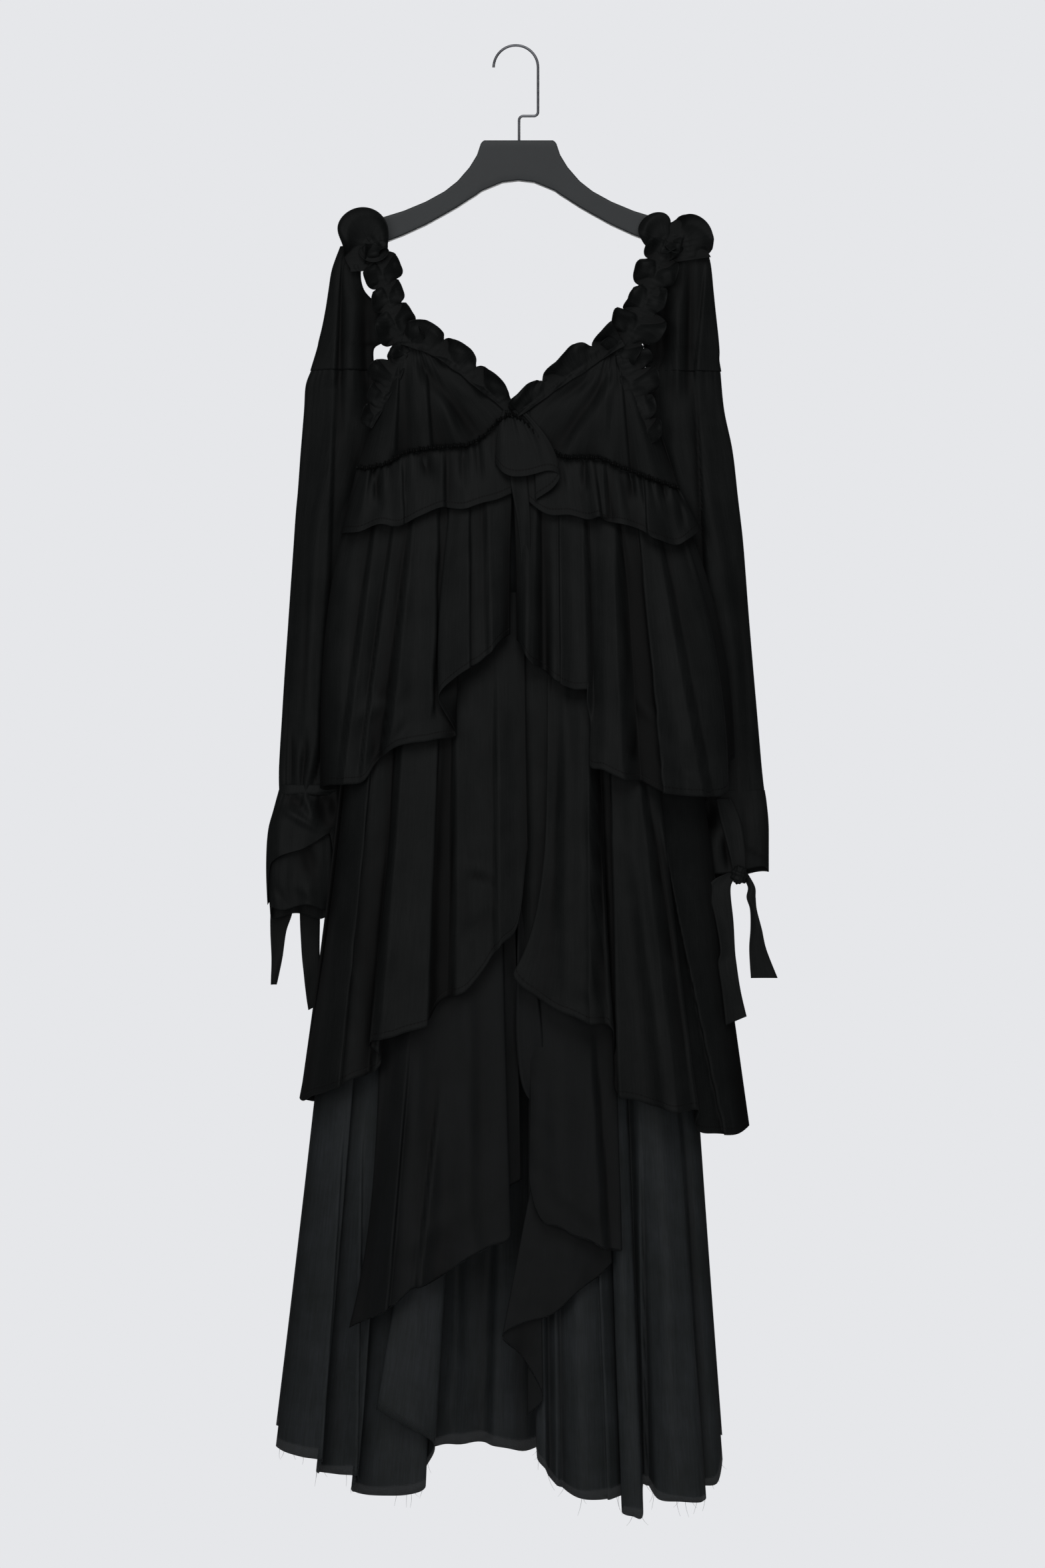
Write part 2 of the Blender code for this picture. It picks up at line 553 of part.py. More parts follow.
# The sleeves: a plain upper piece, a lower piece gathered on it, and a frill below the
# tie at the wrist.
SLEEVE_UPPER_LEFT = (Ring(231, -197, -163, -2, 12, 0.3), Ring(262, -203, -167, 5, 17, 0.8),
                     Ring(309, -212, -172, 12, 20, 1.2), Ring(343, -220, -174, 15, 20, 1.0))
SLEEVE_LOWER_LEFT = (Ring(344, -221, -174, 15, 20, 1.2), Ring(390, -229, -175, 18, 23, 2.0),
                     Ring(434, -233, -177, 21, 24, 2.0), Ring(523, -240, -190, 24, 24, 2.0),
                     Ring(667, -248, -197, 24, 25, 2.2), Ring(770, -252, -196, 20, 22, 2.0),
                     Ring(805, -254, -196, 18, 14, 1.4))
CUFF_LEFT = (Ring(806, -254, -196, 18, 14, 1.4), Ring(830, -260, -200, 17, 22, 2.4),
             Ring(880, -270, -203, 16, 28, 3.4), Ring(918, -270, -202, 16, 30, 3.6))
SLEEVE_UPPER_RIGHT = (Ring(231, 210, 172, -2, 12, 0.3), Ring(262, 214, 174, 5, 17, 0.8),
                      Ring(309, 220, 176, 12, 20, 1.2), Ring(343, 220, 177, 15, 20, 1.0))
SLEEVE_LOWER_RIGHT = (Ring(344, 221, 177, 15, 20, 1.2), Ring(391, 226, 178, 18, 23, 2.0),
                      Ring(434, 235, 182, 21, 24, 2.0), Ring(534, 247, 198, 26, 24, 2.0),
                      Ring(667, 257, 211, 30, 25, 2.2), Ring(772, 262, 216, 28, 22, 2.0),
                      Ring(805, 267, 216, 24, 16, 1.4))
CUFF_RIGHT = (Ring(806, 267, 216, 24, 16, 1.4), Ring(830, 270, 212, 22, 22, 2.2),
              Ring(862, 271, 208, 21, 27, 3.0), Ring(882, 271, 205, 20, 28, 3.2))
TIE_WALL = 1.2


def build_sleeves():
    tube("sleeve_upper_left", SLEEVE_UPPER_LEFT, CREPE)
    tube("sleeve_lower_left", SLEEVE_LOWER_LEFT, CREPE)
    tube("cuff_frill_left", CUFF_LEFT, CREPE, tilt=14.0)
    tube("sleeve_upper_right", SLEEVE_UPPER_RIGHT, CREPE)
    tube("sleeve_lower_right", SLEEVE_LOWER_RIGHT, CREPE)
    tube("cuff_frill_right", CUFF_RIGHT, CREPE, tilt=4.0)


TIES = {
    "tie_left_outer": (Tape(-238, 812, 26.4, 4), Tape(-241, 836, 28.5, 5),
                       Tape(-246, 860, 29.5, 7), Tape(-255, 910, 31.5, 11),
                       Tape(-262, 965, 31, 7), Tape(-264, 1014, 31, 3)),
    "tie_left_inner": (Tape(-226, 813, 28.9, 4), Tape(-225, 836, 32.6, 5),
                       Tape(-224, 860, 34.2, 7), Tape(-225, 935, 36.5, 11),
                       Tape(-220, 990, 35, 9), Tape(-218, 1040, 34, 7)),
    "tie_right_loop": (Tape(221, 814, 13, 7), Tape(226, 840, 7.3, 8), Tape(235, 872, 2.6, 8),
                       Tape(243, 899, 0.6, 6)),
    "tie_right_inner": (Tape(238, 896, -0.9, 5), Tape(224, 915, -6, 9),
                        Tape(226, 965, -12, 9), Tape(227, 1010, -15, 9),
                        Tape(236, 1052, -16, 10)),
    "tie_right_outer": (Tape(245, 896, 2.2, 5), Tape(254, 920, 1.8, 6),
                        Tape(257, 945, 1, 6), Tape(263, 978, 1, 9), Tape(268, 1006, 1, 14))}


def build_ties():
    for name, tapes in TIES.items():
        ribbon(name, tapes, CREPE, wall=TIE_WALL)


build_hanger()
build_hook()
build_bodice()
build_bodice_ruffles()
build_bust_ruffle()
build_tiers()
build_skirt()
build_sleeves()
build_ties()
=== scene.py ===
"""The looks of a tiered ruffle dress on a flat clothes hanger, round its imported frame.

Tables are in millimetres: x from the hook, drop below the hook's inner top, and out or
back, the distance in front of or behind the hanger's middle plane.
"""
import math
import random
from collections import namedtuple

import bpy
import numpy as np
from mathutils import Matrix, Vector


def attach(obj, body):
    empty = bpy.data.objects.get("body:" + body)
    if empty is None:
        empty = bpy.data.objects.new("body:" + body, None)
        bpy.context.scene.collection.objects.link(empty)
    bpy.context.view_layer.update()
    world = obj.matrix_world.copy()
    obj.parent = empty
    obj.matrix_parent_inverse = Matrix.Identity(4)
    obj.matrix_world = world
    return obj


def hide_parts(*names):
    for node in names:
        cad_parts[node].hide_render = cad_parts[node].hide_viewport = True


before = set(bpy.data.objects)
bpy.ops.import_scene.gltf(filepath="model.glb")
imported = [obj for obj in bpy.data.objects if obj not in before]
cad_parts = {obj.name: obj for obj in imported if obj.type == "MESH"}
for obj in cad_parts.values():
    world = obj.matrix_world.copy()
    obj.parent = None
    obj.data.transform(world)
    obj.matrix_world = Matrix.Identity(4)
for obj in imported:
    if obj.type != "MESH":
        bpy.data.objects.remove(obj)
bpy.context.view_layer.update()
bpy.ops.object.select_all(action="DESELECT")


# The hanger's board: one flat injection-moulded arm with a raised block at its middle,
# in matt charcoal plastic with softly rounded edges and a fine sand-blasted grain.
MM = 0.001
Profile = namedtuple("Profile", "x top bottom")

BOARD_MIDDLE = 3.0    # the board isn't quite centred on the hook
BOARD_HALF = 170.5
BOARD_DEPTH = 11.6
BOARD_EDGE = 2.6
BOARD_PROFILE = (
    Profile(0, 102, 145), Profile(17, 102, 147), Profile(37.5, 102, 155.5),
    Profile(40.5, 104.5, 157), Profile(45, 118, 160.5), Profile(53, 131, 165.5),
    Profile(66, 146, 174), Profile(80, 157, 182), Profile(100, 168, 193), Profile(124, 178, 204),
    Profile(150, 186, 214), Profile(162, 190, 217), Profile(168, 194, 216),
    Profile(171.5, 200, 211))
BOARD_COLUMNS = 171
BOARD_COLOUR = 0x0E1113
BOARD_WORN = 0x15181A
BOARD_CLOUD = 60.0    # size of the slightly lighter patches
BOARD_GRAIN = 0.9     # moulded grain is 0.3 mm; drawn coarser, or it would not show


def linear(colour):
    """An sRGB hex colour as the linear red, green, blue and alpha of a shader."""
    parts = [(colour >> shift & 255) / 255 for shift in (16, 8, 0)]
    return (*(c / 12.92 if c <= 0.04045 else ((c + 0.055) / 1.055) ** 2.4 for c in parts), 1.0)


def add_node(tree, kind, values, **settings):
    """Adds a shader node with its settings, and fills or links its inputs."""
    node = tree.nodes.new("ShaderNode" + kind)
    for field, value in settings.items():
        setattr(node, field, value)
    for socket, value in values.items():
        if isinstance(value, bpy.types.NodeSocket):
            tree.links.new(value, node.inputs[socket])
        else:
            node.inputs[socket].default_value = value
    return node


def new_material(name):
    """A new material with its node tree and its shader."""
    material = bpy.data.materials.new(name)
    material.use_nodes = True
    tree = material.node_tree
    return material, tree, tree.nodes["Principled BSDF"]


def moulded_plastic():
    """Injection-moulded ABS: dark, dry and faintly grained, with a dull highlight."""
    material, tree, shader = new_material("moulded_abs_charcoal")
    place = add_node(tree, "TexCoord", {}).outputs["Object"]
    grain = add_node(tree, "TexNoise", {
        "Vector": place, "Scale": 1 / (BOARD_GRAIN * MM), "Detail": 3.0})
    cloud = add_node(tree, "TexNoise", {
        "Vector": place, "Scale": 1 / (BOARD_CLOUD * MM), "Detail": 3.0})
    tone = add_node(tree, "Mix", {
        "Factor": cloud.outputs["Fac"], 6: linear(BOARD_COLOUR), 7: linear(BOARD_WORN)},
        data_type="RGBA")
    rough = add_node(tree, "MapRange", {
        "Value": grain.outputs["Fac"], "To Min": 0.44, "To Max": 0.6})
    bump = add_node(tree, "Bump", {
        "Height": grain.outputs["Fac"], "Strength": 0.12, "Distance": 0.2 * MM})
    tree.links.new(tone.outputs[2], shader.inputs["Base Color"])
    tree.links.new(rough.outputs["Result"], shader.inputs["Roughness"])
    tree.links.new(bump.outputs["Normal"], shader.inputs["Normal"])
    shader.inputs["Specular IOR Level"].default_value = 0.22
    return material


def finish_piece(piece, name, node):
    """Names a modelled piece and gives it its place in the frame."""
    piece.name = piece.data.name = name
    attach(piece, "root")
    if node:
        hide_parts(node)


profile = Profile(*np.array(BOARD_PROFILE, float).T)
bpy.ops.mesh.primitive_grid_add(x_subdivisions=BOARD_COLUMNS, y_subdivisions=6, size=1.0,
                                rotation=(math.pi / 2, 0, 0))
board = bpy.context.object
bpy.ops.object.transform_apply(location=True, rotation=True, scale=True)
for corner in board.data.vertices:
    x = corner.co.x * 2 * BOARD_HALF
    top = np.interp(abs(x), profile.x, profile.top)
    bottom = np.interp(abs(x), profile.x, profile.bottom)
    drop = top + (0.5 - corner.co.z) * (bottom - top)
    corner.co = Vector((BOARD_MIDDLE + x, -BOARD_DEPTH / 2, -drop)) * MM
bpy.ops.object.mode_set(mode="EDIT")
bpy.ops.mesh.select_all(action="SELECT")
bpy.ops.mesh.extrude_region_move(TRANSFORM_OT_translate={"value": (0, BOARD_DEPTH * MM, 0)})
bpy.ops.mesh.select_all(action="SELECT")
bpy.ops.mesh.normals_make_consistent(inside=False)
bpy.ops.object.mode_set(mode="OBJECT")
edge = board.modifiers.new("Moulded edge", "BEVEL")
edge.width = BOARD_EDGE * MM
edge.segments = 4
edge.angle_limit = math.radians(50)
bpy.ops.object.modifier_apply(modifier=edge.name)
bpy.ops.object.shade_smooth_by_angle(angle=math.radians(40))
board.data.materials.append(moulded_plastic())
finish_piece(board, "moulded_board", "hanger_body")


# The hook: one piece of spring wire, blackened to a gunmetal grey, bent cold round
# formers into a bow, a straight shank and a small step, and pushed into the board.
WIRE_RADIUS = 1.4
BOW_RADIUS = 24.0     # to the middle of the wire
BOW_DROP = BOW_RADIUS - WIRE_RADIUS
STEP_DROP = 75.0
STEP_BEND = 4.5
STEM_X = 3.5
STEM_END = 103.0
WIRE_SIDES = 16
HOOK_COLOUR = 0x3C3D40
HOOK_WORN = 0x55565A
PATINA_SIZE = 4.0     # size of the blackening's lighter patches


def blackened_steel():
    """Gunmetal-finished spring steel: a dark metal, patchy in its blackening."""
    material, tree, shader = new_material("blackened_spring_steel")
    place = add_node(tree, "TexCoord", {}).outputs["Object"]
    patina = add_node(tree, "TexNoise", {
        "Vector": place, "Scale": 1 / (PATINA_SIZE * MM), "Detail": 4.0})
    tone = add_node(tree, "Mix", {
        "Factor": patina.outputs["Fac"], 6: linear(HOOK_COLOUR), 7: linear(HOOK_WORN)},
        data_type="RGBA")
    rough = add_node(tree, "MapRange", {
        "Value": patina.outputs["Fac"], "To Min": 0.28, "To Max": 0.45})
    tree.links.new(tone.outputs[2], shader.inputs["Base Color"])
    tree.links.new(rough.outputs["Result"], shader.inputs["Roughness"])
    shader.inputs["Metallic"].default_value = 1.0
    return material


def bend_wire(x, drop, degrees, steps):
    """Bends the open end of the wire round a former at x and drop."""
    bpy.ops.mesh.spin(steps=steps, angle=-math.radians(degrees),
                      center=(x * MM, 0, -drop * MM), axis=(0, 1, 0))


def draw_wire(x, drop):
    """Runs the open end of the wire straight on."""
    bpy.ops.mesh.extrude_region_move(TRANSFORM_OT_translate={"value": (x * MM, 0, -drop * MM)})


bpy.ops.mesh.primitive_circle_add(vertices=WIRE_SIDES, radius=WIRE_RADIUS * MM,
                                  location=(-BOW_RADIUS * MM, 0, -BOW_DROP * MM),
                                  fill_type="NGON")
hook = bpy.context.object
bpy.ops.object.transform_apply(location=True, rotation=True, scale=True)
bpy.ops.object.mode_set(mode="EDIT")
bpy.ops.mesh.select_all(action="SELECT")
bend_wire(0, BOW_DROP, 180, 28)
draw_wire(0, STEP_DROP - STEP_BEND - BOW_DROP)
bend_wire(BOW_RADIUS - STEP_BEND, STEP_DROP - STEP_BEND, 90, 6)
draw_wire(STEM_X + 2 * STEP_BEND - BOW_RADIUS, 0)
bend_wire(STEM_X + STEP_BEND, STEP_DROP + STEP_BEND, -90, 6)
draw_wire(0, STEM_END - STEP_DROP - STEP_BEND)
bpy.ops.mesh.select_all(action="SELECT")
bpy.ops.mesh.remove_doubles(threshold=0.01 * MM)
bpy.ops.mesh.normals_make_consistent(inside=False)
bpy.ops.object.mode_set(mode="OBJECT")
bpy.ops.object.shade_smooth_by_angle(angle=math.radians(40))
hook.data.materials.append(blackened_steel())
finish_piece(hook, "spring_wire_hook", "hanger_hook")


# The bodice's two cups: soft black crepe, cut on the bias and eased onto the underbust
# seam, so that folds fan out from each apex and pucker where they are sewn.
CLOTH = 0.5           # thickness of the crepe
SIDE_OUT = 0.3        # how far out a panel's side edges lie
FRONT = -1
BACK = 1
FULLNESS = 0.4        # the skirt's front stands out by this share more where it is full
FULL_FROM = 470.0
FULL_AT = 760.0
SEAM_LAP = 0.6        # the bodice reaches this far below the underbust seam's line
EYE_DROP = 796.0      # the eye that the fronts' hem drops are read from, and how far away
EYE_AWAY = 3400.0

# A fold has an x on the seam, and at the hem an x, a drop and a distance out; a late one
# keeps its x for longer. A layer is how far out its panel lies on the seam, falling away
# to both ends. Creases and pleats are lines on the cloth, as raise_creases explains.
Fold = namedtuple("Fold", "seam_x hem_x hem_drop out late", defaults=(1.0,))
Layer = namedtuple("Layer", "out left right power")
Crease = namedtuple("Crease", "x drop end_x end_drop width out")
Pleat = namedtuple("Pleat", "x drop end_x end_drop face out")
PLEAT_EDGE = 1.6      # width of the step at a pleat's line
PLEAT_SHADE = 9.0     # how far behind the line the cloth stays hollow
PLEAT_HOLLOW = 0.45   # depth of that hollow, as a share of the pleat's rise
GATHER_WAVE, GATHER_FADE = 10, 28     # width of a seam's gathers, and how far they run down
SETTLE_WAVE, SETTLE_FADE = 20, 70     # the same for the wider folds that they merge into
LOOSE_WAVE, RIPPLE_WAVE = 62, 34      # widths of the soft folds down a whole panel
CRUMPLE_WAVE = 26
HEM_WAVE = 34

CREPE_COLOUR = 0x070808
CREPE_WORN = 0x0D0E0E
THREAD_COLOUR = 0x060606
CREPE_GRAIN = 1.3     # a crepe's pebble is 0.4 mm across; drawn coarse enough to show
SLUB = 1.6            # width of a thick warp thread's streak, drawn three times too wide
SLUB_LENGTH = 45.0
MOTTLE = 55.0         # size of the slightly greyer patches
SHEEN_TINT = 0xC2C6C8
# Painted shade: cloth sunk between its folds is darkened towards this colour, as if in the folds'
# shadow.
PAINTED_SHADE_COLOUR = 0x020202
PAINTED_SHADE_DEPTH = 5.0    # cloth this far behind its neighbours gets the full painted shade
PAINTED_SHADE_MOST = 0.85
PAINTED_SHADE_WINDOW = 61    # columns across which a fold's neighbours are looked for
HEM_STITCH = 7.0      # the hem is topstitched this far above its edge
STITCH = 3.2          # length of a stitch and its gap

SEAM_X, SEAM_DROP = np.array((
    (-171, 454), (-162, 456), (-140, 452), (-119, 439), (-83, 434), (-51, 432), (-33, 421),
    (-19, 405), (-4, 398), (10, 407), (32, 434), (53, 445), (89, 445), (117, 457),
    (153, 470), (176, 477)), float).T
APEX_DROP = {"left": 321.0, "right": 329.0}
APEX_LAYER = {"left": Layer(9.6, -156, -60, 8), "right": Layer(9.6, 54, 150, 8)}
CUPS = {
    "left": (
        Fold(-126, -171, 453, 0.95), Fold(-123, -161, 455, 6), Fold(-119, -141, 451, 12.5),
        Fold(-114, -121, 438, 8), Fold(-110, -99, 436, 13.5), Fold(-106, -80, 433, 8.5),
        Fold(-102, -57, 431, 13.5), Fold(-98, -38, 423, 8.5), Fold(-94, -20, 405, 12.5),
        Fold(-90, -3, 397, 11)),
    "right": (
        Fold(84, 1, 397, 11), Fold(88, 18, 415, 12.5), Fold(92, 36, 436, 8.5),
        Fold(96, 56, 444, 13.5), Fold(100, 78, 444, 8.5), Fold(104, 100, 449, 13.5),
        Fold(108, 122, 458, 8), Fold(112, 146, 467, 12.5), Fold(116, 165, 473, 6),
        Fold(120, 176, 476, 0.95))}
CUP_PUFF = 9.0
CUP_CREASES = {
    "left": (
        Pleat(-124, 330, -129, 432, -13, 3.0), Pleat(-96, 348, -91, 430, -17, 3.6),
        Crease(-106, 338, -47, 417, 8, -7.0), Crease(-90, 345, -26, 398, 7, 2.6),
        Crease(-112, 345, -108, 430, 7, 2.0), Crease(-76, 384, -66, 428, 6, 2.2),
        Crease(-136, 372, -150, 440, 8, 2.4)),
    "right": (
        Crease(103, 348, 49, 431, 8, -7.4), Crease(86, 354, 33, 392, 6, -4.6),
        Pleat(113, 350, 122, 452, -17, 3.2), Crease(98, 358, 74, 438, 8, 2.8),
        Crease(74, 352, 26, 382, 7, 2.0), Crease(106, 372, 100, 440, 5, -2.4),
        Crease(128, 384, 150, 456, 9, 2.6))}


def along(rows, steps):
    """The columns of a table, read along a Catmull-Rom curve through its rows."""
    kind = type(rows[0])
    table = np.array(rows, float)
    ends = np.vstack([table[:1], table, table[-1:]])
    t = (np.arange(steps) / steps)[:, None]
    parts = [0.5 * (2 * b + (c - a) * t + (2 * a - 5 * b + 4 * c - d) * t * t
                    + (3 * b - a - 3 * c + d) * t ** 3)
             for a, b, c, d in zip(ends, ends[1:], ends[2:], ends[3:])]
    return kind(*np.vstack([*parts, table[-1:]]).T)


def unrest(x, y, size, seed):
    """Soft uneven waves of about one, each about size across, as cloth never hangs even."""
    draw = random.Random(seed)
    total = 0.0
    for _ in range(8):
        way = draw.uniform(0, 2 * math.pi)
        pace = 2 * math.pi / (size * draw.uniform(0.75, 1.7))
        total = total + np.sin(pace * (x * math.cos(way) + y * math.sin(way))
                               + draw.uniform(0, 2 * math.pi))
    return total / 2.6


def run_length(points, axis):
    """The distance run along an axis of a grid of points, from its start."""
    steps = np.linalg.norm(np.diff(points, axis=axis), axis=2)
    start = np.zeros_like(np.take(steps, [0], axis=axis))
    return np.concatenate([start, np.cumsum(steps, axis=axis)], axis=axis)


def even_out(rows, window):
    """Each row of values smoothed over a window of columns."""
    weights = np.hanning(window + 2)[1:-1]
    weights = weights / weights.sum()
    ends = np.pad(rows, ((0, 0), (window // 2, window - 1 - window // 2)), mode="edge")
    return np.apply_along_axis(lambda row: np.convolve(row, weights, "valid"), 1, ends)


def raise_creases(x, drop, creases):
    """How far the listed creases lift the cloth, or sink it, at x and drop.

    A crease is a ridge of a width along its line, which fades at both ends. A pleat rises
    over its face, to the right of its line or with a negative face to the left, and drops
    at the line, where the cloth behind it is a little hollow.
    """
    lift = np.zeros(np.broadcast(x, drop).shape)
    for crease in creases:
        run_x, run_drop = crease.end_x - crease.x, crease.end_drop - crease.drop
        length = math.hypot(run_x, run_drop)
        t = ((x - crease.x) * run_x + (drop - crease.drop) * run_drop) / length ** 2
        if isinstance(crease, Pleat):
            beside = ((x - crease.x) * run_drop - (drop - crease.drop) * run_x) / length
            on_face = beside * np.sign(crease.face)
            face = np.clip(1 - on_face / abs(crease.face), 0, 1) ** 1.5
            hollow = -PLEAT_HOLLOW * np.exp(np.minimum(on_face, 0) / PLEAT_SHADE)
            share = 1 / (1 + np.exp(-np.clip(on_face / (0.25 * PLEAT_EDGE), -60, 60)))
            fade = np.clip(3.0 * t, 0, 1) * np.clip(1 + 12 * (1.04 - t), 0, 1)
            lift += crease.out * fade * (face * share + hollow * (1 - share))
        else:
            nearest = np.clip(t, 0, 1)
            away = np.hypot(x - crease.x - nearest * run_x,
                            drop - crease.drop - nearest * run_drop)
            fade = np.sin(math.pi * np.clip(0.08 + 0.84 * nearest, 0, 1)) ** 0.7
            lift += crease.out * fade * np.exp(-(away / crease.width) ** 2)
    return lift


def woven_cloth(name, colour, worn, grain, roughness, gloss, sheen, hem_stitched=False):
    """A woven cloth that reads its own cut: grain, slubs, mottling and a hem, and is darkened as
    painted shade in its fold hollows.
    """
    material, tree, shader = new_material(name)
    cut = add_node(tree, "UVMap", {}, uv_map="cut").outputs["UV"]
    edge_run = add_node(tree, "Attribute", {}, attribute_name="hem").outputs["Fac"]
    hollow = add_node(tree, "Attribute", {}, attribute_name="hollow").outputs["Fac"]
    pebble = add_node(tree, "TexNoise", {
        "Vector": cut, "Scale": 1 / (grain * MM), "Detail": 2.0, "Roughness": 0.6})
    warp = add_node(tree, "Mapping", {
        "Vector": cut, "Scale": (1 / (SLUB * MM), 1 / (SLUB_LENGTH * MM), 1.0)})
    slubs = add_node(tree, "TexNoise", {
        "Vector": warp.outputs["Vector"], "Scale": 1.0, "Detail": 3.0, "Roughness": 0.7})
    cloud = add_node(tree, "TexNoise", {
        "Vector": cut, "Scale": 1 / (MOTTLE * MM), "Detail": 4.0, "Roughness": 0.6})
    mottle = add_node(tree, "Math", {
        0: slubs.outputs["Fac"], 1: cloud.outputs["Fac"]}, operation="MULTIPLY")
    spread = add_node(tree, "MapRange", {
        "Value": mottle.outputs["Value"], "From Min": 0.12, "From Max": 0.42})
    tone = add_node(tree, "Mix", {
        "Factor": spread.outputs["Result"], 6: linear(colour), 7: linear(worn)},
        data_type="RGBA")
    height = add_node(tree, "Math", {
        0: pebble.outputs["Fac"], 1: slubs.outputs["Fac"]}, operation="ADD")
    bump = add_node(tree, "Bump", {
        "Height": height.outputs["Value"], "Strength": 0.22, "Distance": 0.25 * MM})
    # Painted shade: the hollow attribute darkens the colour where the folds would shade the
    # cloth.
    painted_shade_mix = add_node(tree, "Mix", {
        "Factor": hollow, 6: tone.outputs[2], 7: linear(PAINTED_SHADE_COLOUR)}, data_type="RGBA")
    shade, normal = painted_shade_mix.outputs[2], bump.outputs["Normal"]
    if hem_stitched:
        off = add_node(tree, "Math", {0: edge_run, 1: HEM_STITCH * MM},
                       operation="SUBTRACT").outputs["Value"]
        far = add_node(tree, "Math", {0: off}, operation="ABSOLUTE").outputs["Value"]
        line = add_node(tree, "MapRange", {
            "Value": far, "From Min": 0.3 * MM, "From Max": 1.2 * MM,
            "To Min": 1.0, "To Max": 0.0}).outputs["Result"]
        split = add_node(tree, "SeparateXYZ", {"Vector": cut}).outputs["X"]
        beat = add_node(tree, "Math", {
            0: split, 1: 2 * math.pi / (STITCH * MM)}, operation="MULTIPLY").outputs["Value"]
        stitch = add_node(tree, "Math", {0: beat}, operation="SINE").outputs["Value"]
        sewn = add_node(tree, "MapRange", {
            "Value": stitch, "From Min": -0.6, "From Max": 0.2,
            "To Min": 0.45, "To Max": 1.0}).outputs["Result"]
        seam = add_node(tree, "Math", {0: line, 1: sewn},
                        operation="MULTIPLY").outputs["Value"]
        shade = add_node(tree, "Mix", {
            "Factor": seam, 6: shade, 7: linear(THREAD_COLOUR)}, data_type="RGBA").outputs[2]
        normal = add_node(tree, "Bump", {
            "Height": seam, "Normal": normal, "Strength": 0.6, "Distance": 0.4 * MM},
            invert=True).outputs["Normal"]
    tree.links.new(shade, shader.inputs["Base Color"])
    tree.links.new(normal, shader.inputs["Normal"])
    shader.inputs["Roughness"].default_value = roughness
    shader.inputs["Specular IOR Level"].default_value = gloss
    shader.inputs["Sheen Weight"].default_value = sheen
    shader.inputs["Sheen Roughness"].default_value = 0.45
    shader.inputs["Sheen Tint"].default_value = linear(SHEEN_TINT)
    return material


Fabric = namedtuple("Fabric", "material slot")

# Crepe has hard-twisted threads, so it is dry and pebbled with a soft sheen at its folds.
CREPE = Fabric(woven_cloth("crepe_black_hard_twist", CREPE_COLOUR, CREPE_WORN, CREPE_GRAIN,
                           roughness=0.6, gloss=0.04, sheen=0.006), "crepe_black")
CREPE_HEMMED = Fabric(woven_cloth("crepe_black_topstitched", CREPE_COLOUR, CREPE_WORN,
                                  CREPE_GRAIN, roughness=0.6, gloss=0.042, sheen=0.007,
                                  hem_stitched=True), "crepe_black")


def new_piece(name, corners, faces, flat, fabric, **values):
    """A mesh of corners in metres, with its flat cut as a UV map and values on its corners."""
    mesh = bpy.data.meshes.new(name)
    mesh.from_pydata(corners, [], faces)
    cut = mesh.uv_layers.new(name="cut")
    cut.data.foreach_set("uv", flat.reshape(-1))
    for field, value in values.items():
        spread = mesh.attributes.new(field, "FLOAT", "POINT")
        spread.data.foreach_set("value", value.reshape(-1))
    mesh.materials.append(fabric.material)
    piece = bpy.data.objects.new(name, mesh)
    bpy.context.collection.objects.link(piece)
    bpy.context.view_layer.objects.active = piece
    return piece


def cloth(name, points, fabric, node, tube=False, both_edges=False,
          thick=CLOTH, painted_fold_shade=1.0, creases=()):
    """A shell of cloth through a grid of points, each of x, drop and back in millimetres.

    Each row of points runs across the cloth, and the rows follow down it. The UV map is
    the flat cut in metres, the hem attribute the distance from the free edge, and the
    hollow attribute how deep between its folds the cloth lies, times a share given per
    piece; it darkens the colour as painted shade in the fold hollows.
    """
    x, drop, back = points[..., 0], points[..., 1], points[..., 2]
    place = np.stack([x, back, -drop], axis=2) * MM
    rows, columns = place.shape[:2]
    closed = np.concatenate([place, place[:, :1]], axis=1) if tube else place
    down = run_length(closed, 0)
    across = run_length(closed, 1)
    u = np.broadcast_to(across[int(0.6 * rows)], across.shape)
    to_hem = down[-1:] - down
    if both_edges:
        to_hem = np.minimum(to_hem, down)
    i, j = np.meshgrid(np.arange(rows - 1), np.arange(closed.shape[1] - 1), indexing="ij")
    corner_rows = np.stack([i, i + 1, i + 1, i], axis=2).reshape(-1)
    corner_columns = np.stack([j, j, j + 1, j + 1], axis=2).reshape(-1)
    faces = (corner_rows * columns + corner_columns % columns).reshape(-1, 4)
    flat = np.stack([u[corner_rows, corner_columns], -down[corner_rows, corner_columns]], axis=1)
    # Painted shade: cloth sunk behind its neighbours, or into a tube's sunk creases, is darkened
    # through the hollow attribute.
    if tube:
        sunk = -raise_creases(x, drop, creases)
    else:
        sunk = even_out(np.abs(back), PAINTED_SHADE_WINDOW) - np.abs(back)
    piece = new_piece(name, place.reshape(-1, 3).tolist(), faces.tolist(), flat, fabric,
                      hem=to_hem[:, :columns],
                      hollow=np.clip(sunk / PAINTED_SHADE_DEPTH, 0, PAINTED_SHADE_MOST) * painted_fold_shade)
    wall = piece.modifiers.new("Thickness", "SOLIDIFY")
    wall.thickness = thick * MM
    wall.offset = 0.0
    bpy.ops.object.modifier_apply(modifier=wall.name)
    piece.data.shade_smooth()
    finish_piece(piece, name, node)


def steady(v):
    """How far from its x on the seam to its x at the hem a fold is, at v of the way down."""
    return v


def fullness(drop, side):
    """The front of the skirt stands out fuller as it falls; the back hangs flat."""
    share = np.clip((drop - FULL_FROM) / (FULL_AT - FULL_FROM), 0, 1)
    return 1 + (FULLNESS * share * share * (3 - 2 * share) if side == FRONT else 0 * share)


def resting_out(x, layer):
    """How far out a panel lies on its seam, rounded off towards both sides."""
    share = (2 * x - layer.left - layer.right) / (layer.right - layer.left)
    return SIDE_OUT + layer.out * np.clip(1 - np.abs(share) ** layer.power, 0, None)


def seam_line(x):
    """The drop of the front underbust seam at x."""
    return np.interp(x, SEAM_X, SEAM_DROP)


